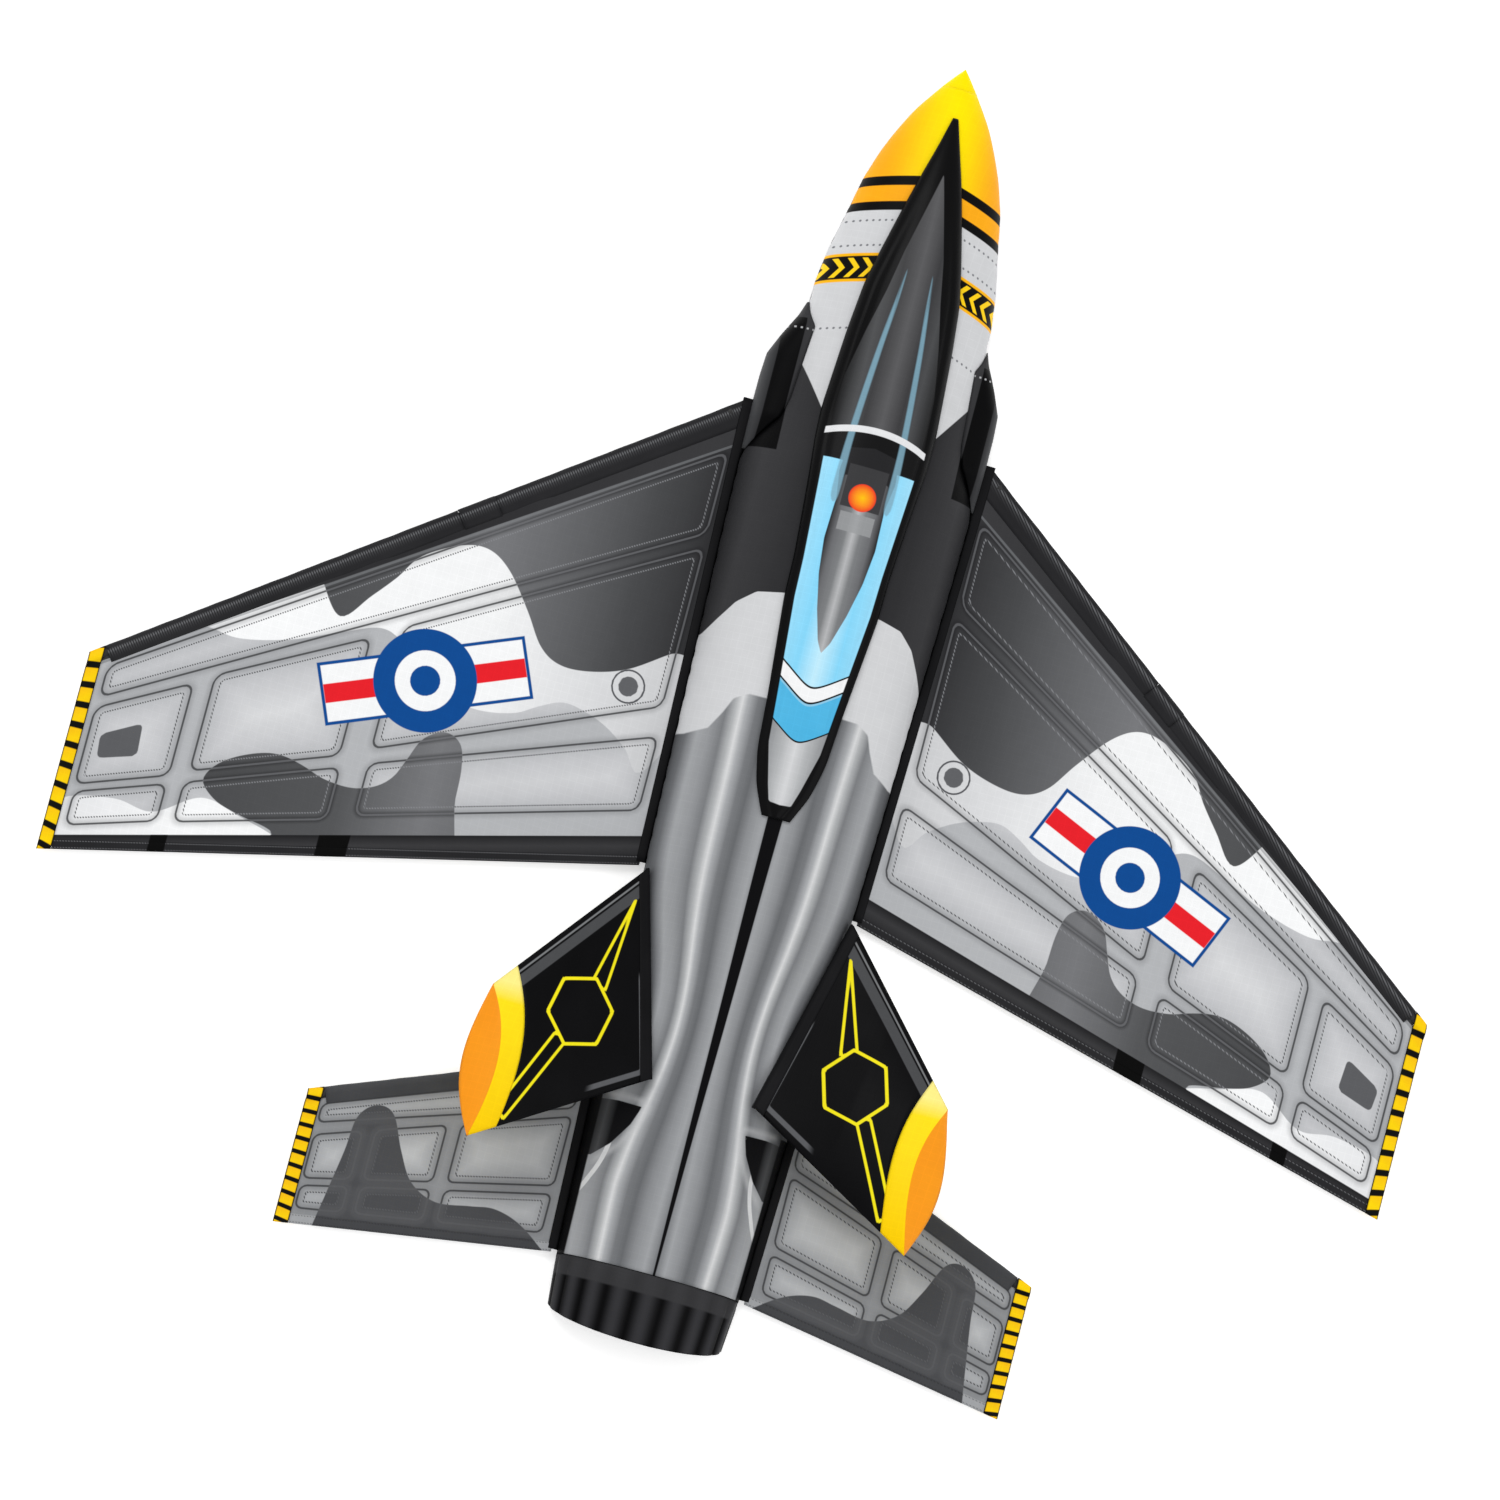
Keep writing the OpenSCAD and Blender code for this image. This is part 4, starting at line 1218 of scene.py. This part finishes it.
def make_nozzle():
    """A short ribbed tube, open behind."""
    rings = []
    for f in np.linspace(0, 1, 30):
        ring = []
        for i in range(NOZZLE_STEPS + 1):
            a = math.pi * i / NOZZLE_STEPS
            swell = abs(math.cos(NOZZLE_RIBS * a)) ** 0.7 * min(1, f * 6)
            w = NOZZLE_HALF_WIDTH[0] + (NOZZLE_HALF_WIDTH[1] - NOZZLE_HALF_WIDTH[0]) * f - 1.0 + swell
            h = NOZZLE_HEIGHT[0] + (NOZZLE_HEIGHT[1] - NOZZLE_HEIGHT[0]) * f - 1.0 + swell
            station = NOZZLE_START + f * (NOZZLE_LENGTH + 15 * math.sin(a))
            ring.append((w * math.cos(a), station, BELLY_Z / MM + h * math.sin(a)))
        rings.append(ring)
    grid = np.array(rings)
    obj = surface("nozzle_cloth", grid)
    ring = np.abs(np.cos(NOZZLE_RIBS * np.linspace(0, math.pi, NOZZLE_STEPS + 1)))
    ring = np.broadcast_to(ring, grid.shape[:2]).ravel()
    paint(obj, lambda side, station, height: {"rib": ring})
    tidy(obj, outwards=False)
    modify(obj, "SOLIDIFY", thickness=0.0008, offset=-1)
    material = cloth("nozzle_nylon", nozzle_print, rough=0.4)
    hand_in(obj, "fuselage", "nozzle_cloth", material, replaces=["nozzle_skirt"])


# ---- fins -----------------------------------------------------------------------------


def fin_plane(side, station):
    """The height of a fin's middle plane in the plan."""
    (ax, ay, az), (bx, by, bz) = FIN_ROOT
    mx, my = (FIN_TIP[0][0] + FIN_TIP[1][0]) / 2, (FIN_TIP[0][1] + FIN_TIP[1][1]) / 2
    n = np.cross((bx - ax, by - ay, bz - az), (mx - ax, my - ay, FIN_TIP_HEIGHT - az))
    return az - (n[0] * (side - ax) + n[1] * (station - ay)) / n[2]


def fin_plan(v, c):
    """Plan points at v from root to tip and c from front to rear."""
    front = np.array(FIN_ROOT[0][:2]) + (np.array(FIN_TIP[0]) - FIN_ROOT[0][:2]) * v[..., None]
    rear = np.array(FIN_ROOT[1][:2]) + (np.array(FIN_TIP[1]) - FIN_ROOT[1][:2]) * v[..., None]
    return front + (rear - front) * c[..., None]


def fin_half(v, c):
    """Half of a fin's thickness."""
    swell = np.clip(v / 0.45, 0, 1) * np.clip(np.sin(np.pi * c), 0, 1) ** 0.7
    return FIN_SHELL + (FIN_THICK / 2 - FIN_SHELL) * swell


def fin_face(shift, bulge, up):
    """One face of a fin; its end is moved along the fin by shift, most at the middle of the chord."""
    v, c = np.meshgrid(np.linspace(FIN_START, 1, FIN_ROWS), np.linspace(0, 1, FIN_COLUMNS), indexing="ij")
    arc = np.sin(np.pi * c)
    reach = v * (1 + shift * arc)
    plan = fin_plan(reach, c)
    side = plan[..., 0] + bulge * v**6 * arc
    half = fin_half(reach, c) - FIN_SHELL * np.abs(2 * c - 1) ** 8
    half = half * (1 - 0.12 * np.exp(-(((1 - v) * FIN_REACH - FIN_BAND) / 1.3) ** 2))
    height = fin_plane(side, plan[..., 1]) + (half if up else -half)
    return np.stack([side, plan[..., 1], height], -1)


def fin_fields(side, station, height):
    (ax, ay, _), (bx, by) = FIN_ROOT[0], FIN_TIP[0]
    hexagon = [(MOTIF_AT[0] + MOTIF_R * math.sin(math.radians(a)) * 0.9,
                MOTIF_AT[1] + MOTIF_R * math.cos(math.radians(a))) for a in range(15, 375, 60)]
    return {
        "rim": inside(side, station, FIN_OUTLINE),
        "front_edge": ((station - ay) * (bx - ax) - (side - ax) * (by - ay)) / math.hypot(bx - ax, by - ay),
        "lower": np.minimum(station - 770, 90 - side),
        "motif": np.maximum(inside(side, station, MOTIF_FRONT), inside(side, station, MOTIF_REAR)),
        "hub": inside(side, station, hexagon),
    }


def make_fin_seams():
    """Tape that joins each fin to the web below it."""
    c = np.linspace(0, 1, 60)
    root = fin_plan(np.zeros_like(c), c)
    root_z = fin_plane(root[:, 0], root[:, 1])
    run = (root[-1] - root[0]) / np.hypot(*(root[-1] - root[0]))
    away = np.array([-run[1], run[0]]) * (1 if run[1] < 0 else -1)
    rings = []

    def on_fin(v, up):
        plan = fin_plan(np.full_like(c, v), c)
        lift = (fin_half(np.full_like(c, v), c) + 0.35) * (1 if up else -1)
        rings.append(np.stack([plan[:, 0], plan[:, 1], fin_plane(plan[:, 0], plan[:, 1]) + lift], -1))

    def on_web(offset, depth):
        plan = root + away * offset
        rings.append(np.stack([plan[:, 0], plan[:, 1], root_z - depth], -1))

    for v in FIN_TAPE_OVER:
        on_fin(v, True)
    for offset, depth in FIN_TAPE_WEB:
        on_web(offset, depth)
    for v in FIN_TAPE_UNDER:
        on_fin(v, False)
    bend_depth, bend_reach = FIN_TAPE_BEND
    for name, sign in SIDES:
        grid = mirrored(np.stack(rings, 1), sign)
        obj = solid(f"fin_root_seam_{name}", grid)
        hand_in(obj, None, "dark_band", seam_tape())
        half = len(c) // 2
        mid = np.array([*root[half], root_z[half]])
        outer = fin_plan(np.array([bend_reach]), c[[half]])[0]
        ends = []
        for point in (mid - [0, 0, bend_depth], np.array([*outer, fin_plane(*outer)])):
            ends.append(np.array([point[0] * sign * MM, NOSE_Y - point[1] * MM, point[2] * MM]))
        along = np.array([(root[-1, 0] - root[0, 0]) * sign, root[0, 1] - root[-1, 1], root_z[-1] - root_z[0]])
        along = along / np.linalg.norm(along)
        bend = ends[1] - ends[0]
        bend = bend - along * bend.dot(along)
        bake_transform(obj)


def make_fins():
    """Wadded fins, each with a separate tip whose slanted end shows orange."""
    for name, sign in SIDES:
        top, bottom = fin_face(-FIN_LENS[0], 0, True), fin_face(FIN_LENS[1], 8, False)
        steps = np.linspace(0, 1, 9)[:, None, None]
        end = top[-1] + (bottom[-1] - top[-1]) * steps
        end[..., 0] += 2.0 * np.sin(np.pi * steps[..., 0]) * np.sin(np.pi * np.linspace(0, 1, FIN_COLUMNS))
        cut = int(np.argmin(np.abs((1 - np.linspace(FIN_START, 1, FIN_ROWS)) * FIN_REACH - FIN_BAND)))
        rest = np.zeros(FIN_ROWS - 1 - cut)
        rows_end = np.concatenate([rest, [0.5], np.ones(7), [0.5], rest])
        pad = np.concatenate([top[:cut + 1], bottom[cut::-1]])
        tip = np.concatenate([top[cut:], end[1:-1], bottom[:cut - 1:-1]])
        loops = {
            "fin_pad": (pad, None, "fin_print", "fin_panel"),
            "fin_tip_pad": (tip, rows_end, "fin_tip_cloth", "fin_tip"),
        }
        for label, (loop, ends, slot, node) in loops.items():
            around = loop.transpose(1, 0, 2)
            obj = surface(f"{label}_{name}", mirrored(around, sign), close_across=True)
            if ends is not None:
                layer = obj.data.attributes.new("end", "FLOAT", "POINT")
                layer.data.foreach_set("value", np.tile(ends, FIN_COLUMNS).astype(np.float32))
                material = cloth("fin_tip_nylon", fin_tip_print, rough=0.42)
            else:
                paint(obj, fin_fields)
                material = cloth("fin_nylon", fin_print, rough=0.42)
            tidy(obj, 0.00003)
            hand_in(obj, f"fin_{name}", slot, material, replaces=[f"{node}_{name}"])


# ---- keel -----------------------------------------------------------------------------


def keel_print(s):
    """Dark cloth with a stitched hem along both free edges."""
    side, station = s.side(), s.station()
    front = (station - 460 - side * 0.195) * 0.981
    rear = (674 - station - side * 1.374) * 0.588
    hem = front.least(rear)
    colour = s.mix(plain("#29292B", "#343437")(s), "#1B1B1D", s.mask(9 - hem, 0.5))
    return s.mix(colour, "#85868A", s.line(hem - 7, 0.6) * dashes(s))


def make_keel():
    """The keel, which lies folded under the belly and keeps its eyelet holes, and its sewn patch."""
    for node, name in (("keel_panel", "keel_cloth"), ("keel_patch", "keel_patch_cloth")):
        piece = bpy.data.objects.new(name, frame["nodes"][node].data.copy())
        bpy.context.scene.collection.objects.link(piece)
        tidy(piece)
        modify(piece, "BEVEL", width=0.00012, segments=2, limit_method="ANGLE")
        hand_in(piece, "keel", "keel_cloth", cloth("keel_nylon", keel_print, rough=0.55), replaces=[node])


# ---- fittings, stage ------------------------------------------------------------------


def finish_fittings():
    """Gives the solids that still show their finish; the battens keep the frame's pale one."""
    rod = worn_solid("glass_fibre_rod", "#17181A", "#2B2C2F", 0.38, coat=0.3)
    moulded = worn_solid("moulded_vinyl", "#0E0E0F", "#222224", 0.62)
    brass = worn_solid("pressed_brass", "#C59A4A", "#8E6A2C", 0.3, metal=1.0)
    nylon = cloth("keel_tape", plain("#1B1B1D", "#2A2A2C"))
    by_slot = {
        "glass_fibre": rod, "moulded_fitting": moulded, "brass_eyelet": brass, "keel_cloth": nylon,
        "dark_band": seam_tape(),
    }
    for part in frame["record"]["subparts"]:
        material = by_slot.get(part["material_slot"])
        if material:
            obj = frame["nodes"][part["node"]]
            for slot in obj.material_slots:
                slot.material = material


SENSOR = 36


def look_down(settings):
    """The camera: almost straight down, rolled so that the nose points up and to the right."""
    tilt, roll = settings.tilt, settings.roll
    away = math.sin(tilt)
    back = Vector((away * math.cos(settings.lean), away * math.sin(settings.lean), math.cos(tilt)))
    up = Vector((-math.sin(roll), math.cos(roll), 0))
    up = (up - back * up.dot(back)).normalized()
    right = up.cross(back)
    target = Vector(settings.target)
    data = bpy.data.cameras.new("camera")
    data.lens = settings.lens
    data.sensor_width = SENSOR
    data.clip_end = 50
    distance = settings.frame_width * settings.lens / SENSOR
    camera = bpy.data.objects.new("camera", data)
    matrix = Matrix((right, up, back)).transposed().to_4x4()
    matrix.translation = target + back * distance
    camera.matrix_world = matrix
    bpy.context.scene.collection.objects.link(camera)
    bpy.context.scene.camera = camera


def add_lamp(name, where, size, power):
    """A round lamp that points at the origin."""
    data = bpy.data.lights.new(name, "AREA")
    data.energy = power
    data.shape = "DISK"
    data.size = size
    lamp = bpy.data.objects.new(name, data)
    lamp.location = where
    lamp.rotation_euler = Vector(where).to_track_quat("Z", "Y").to_euler()
    bpy.context.scene.collection.objects.link(lamp)


# ---- settings, operators, panel -------------------------------------------------------


def size_setting(name, description, default, high, low=0):
    return bpy.props.FloatProperty(name=name, description=description, default=default, min=low, max=high)


def colour_setting(name, description, default):
    return bpy.props.FloatVectorProperty(
        name=name, description=description, default=default, subtype="COLOR", min=0, max=1)


def angle_setting(name, description, degrees):
    return bpy.props.FloatProperty(
        name=name, description=description, default=math.radians(degrees), subtype="ANGLE", unit="ROTATION")


class KiteLookSettings(bpy.types.PropertyGroup):
    """Sizes and colours of the sewn cloth."""

    wing_puff: size_setting("Wing puff", "How far the wing cloth rises between its edges, in mm", 3.0, 6)
    tail_puff: size_setting("Tail puff", "How far the tail cloth rises between its edges, in mm", 1.6, 4)
    skin_slack: size_setting("Skin slack", "How much the skin sinks between formers", 0.022, 0.05)
    canopy_rise: size_setting("Canopy rise", "Height of the canopy's wadding, in mm", 10.5, 11, low=2)
    nose_yellow: colour_setting("Nose yellow", "Middle of the nose", tone("#FFE600")[:3])
    nose_orange: colour_setting("Nose orange", "Sides of the nose and its band", tone("#FBAB18")[:3])
    badge_blue: colour_setting("Badge blue", "Discs and bar outlines on the wings", tone("#0B4A92")[:3])
    badge_red: colour_setting("Badge red", "Stripe in each bar", tone("#E8202A")[:3])
    motif_yellow: colour_setting("Motif yellow", "Outlines on the fins", tone("#F6E71C")[:3])


class KiteStageSettings(bpy.types.PropertyGroup):
    """Where the camera and the lights stand."""

    tilt: angle_setting("Tilt", "Camera's lean from vertical", 10)
    lean: angle_setting("Lean", "Compass direction of the camera's lean", 227.7)
    roll: angle_setting("Roll", "How far the nose turns from straight up", 14.8)
    lens: bpy.props.FloatProperty(name="Lens", description="Focal length in mm", default=290)
    frame_width: bpy.props.FloatProperty(
        name="Frame width", description="Width seen at the kite", default=1.18, unit="LENGTH")
    target: bpy.props.FloatVectorProperty(
        name="Target", description="Point in the middle of the view", default=(-0.0281, -0.0465, 0.01),
        subtype="TRANSLATION")
    floor: colour_setting("Floor", "Colour of the floor", (0.93, 0.93, 0.93))


class KiteStep:
    """Runs its jobs in turn."""

    def execute(self, context):
        for job in self.jobs:
            job()
        return {"FINISHED"}


class KITE_OT_wings(KiteStep, bpy.types.Operator):
    """Sew the two wings"""

    bl_idname = "kite.wings"
    bl_label = "Wings"
    jobs = (make_wings,)


class KITE_OT_tailplanes(KiteStep, bpy.types.Operator):
    """Sew the two tail panels"""

    bl_idname = "kite.tailplanes"
    bl_label = "Tail panels"
    jobs = (make_tailplanes,)


class KITE_OT_fuselage(KiteStep, bpy.types.Operator):
    """Sew the fuselage skin and its belly"""

    bl_idname = "kite.fuselage"
    bl_label = "Fuselage"
    jobs = (make_fuselage, make_belly,)


class KITE_OT_canopy(KiteStep, bpy.types.Operator):
    """Make the wadded canopy"""

    bl_idname = "kite.canopy"
    bl_label = "Canopy"
    jobs = (make_canopy,)


class KITE_OT_intakes(KiteStep, bpy.types.Operator):
    """Make the two intake scoops"""

    bl_idname = "kite.intakes"
    bl_label = "Intakes"
    jobs = (make_intakes,)


class KITE_OT_nozzle(KiteStep, bpy.types.Operator):
    """Sew the ribbed nozzle"""

    bl_idname = "kite.nozzle"
    bl_label = "Nozzle"
    jobs = (make_nozzle,)


class KITE_OT_fins(KiteStep, bpy.types.Operator):
    """Make the two wadded fins"""

    bl_idname = "kite.fins"
    bl_label = "Fins"
    jobs = (make_fins, make_fin_seams,)


class KITE_OT_keel(KiteStep, bpy.types.Operator):
    """Sew the keel"""

    bl_idname = "kite.keel"
    bl_label = "Keel"
    jobs = (make_keel,)


class KITE_OT_fittings(KiteStep, bpy.types.Operator):
    """Finish the rods, caps, clips and eyelets"""

    bl_idname = "kite.fittings"
    bl_label = "Fittings"
    jobs = (finish_fittings,)


class KITE_OT_stage(bpy.types.Operator):
    """Set up the floor, the lights and the camera"""

    bl_idname = "kite.stage"
    bl_label = "Stage"

    def execute(self, context):
        settings = context.scene.kite_stage
        bpy.ops.object.select_all(action="DESELECT")
        bpy.ops.mesh.primitive_plane_add(size=30, location=(0, 0, -0.0005))
        floor = context.active_object
        floor.name = "floor"
        material = bpy.data.materials.new("floor")
        material.use_nodes = True
        shader = material.node_tree.nodes["Principled BSDF"]
        shader.inputs["Base Color"].default_value = (*settings.floor, 1)
        shader.inputs["Roughness"].default_value = 0.9
        shader.inputs["Emission Color"].default_value = (1, 1, 1, 1)
        shader.inputs["Emission Strength"].default_value = 0.45
        floor.data.materials.append(material)
        add_lamp("key_light", (-2.2, 2.4, 4.2), 3.0, 90)
        add_lamp("fill_light", (2.8, -0.8, 3.6), 4.0, 42)
        world = bpy.data.worlds.new("studio")
        world.use_nodes = True
        world.node_tree.nodes["Background"].inputs["Color"].default_value = (1, 1, 1, 1)
        world.node_tree.nodes["Background"].inputs["Strength"].default_value = 0.68
        context.scene.world = world
        context.scene.view_settings.view_transform = "Standard"
        look_down(settings)
        return {"FINISHED"}


STEPS = (
    KITE_OT_fuselage, KITE_OT_canopy, KITE_OT_intakes, KITE_OT_nozzle, KITE_OT_wings, KITE_OT_tailplanes,
    KITE_OT_fins, KITE_OT_keel, KITE_OT_fittings, KITE_OT_stage,
)


class KITE_PT_panel(bpy.types.Panel):
    """Lists the kite's pieces"""

    bl_idname = "KITE_PT_panel"
    bl_label = "Jet Kite"
    bl_space_type = "VIEW_3D"
    bl_region_type = "UI"
    bl_category = "Jet Kite"

    def draw(self, context):
        for step in STEPS:
            self.layout.operator(step.bl_idname)
        for settings in (context.scene.kite_look, context.scene.kite_stage):
            for name in type(settings).__annotations__:
                self.layout.prop(settings, name)


CLASSES = (KiteLookSettings, KiteStageSettings, *STEPS, KITE_PT_panel)


def register():
    for cls in CLASSES:
        bpy.utils.register_class(cls)
    bpy.types.Scene.kite_look = bpy.props.PointerProperty(type=KiteLookSettings)
    bpy.types.Scene.kite_stage = bpy.props.PointerProperty(type=KiteStageSettings)


def unregister():
    del bpy.types.Scene.kite_stage
    del bpy.types.Scene.kite_look
    for cls in reversed(CLASSES):
        bpy.utils.unregister_class(cls)


def main():
    register()
    for step in STEPS:
        group, name = step.bl_idname.split(".")
        getattr(getattr(bpy.ops, group), name)()


if __name__ == "__main__":
    main()
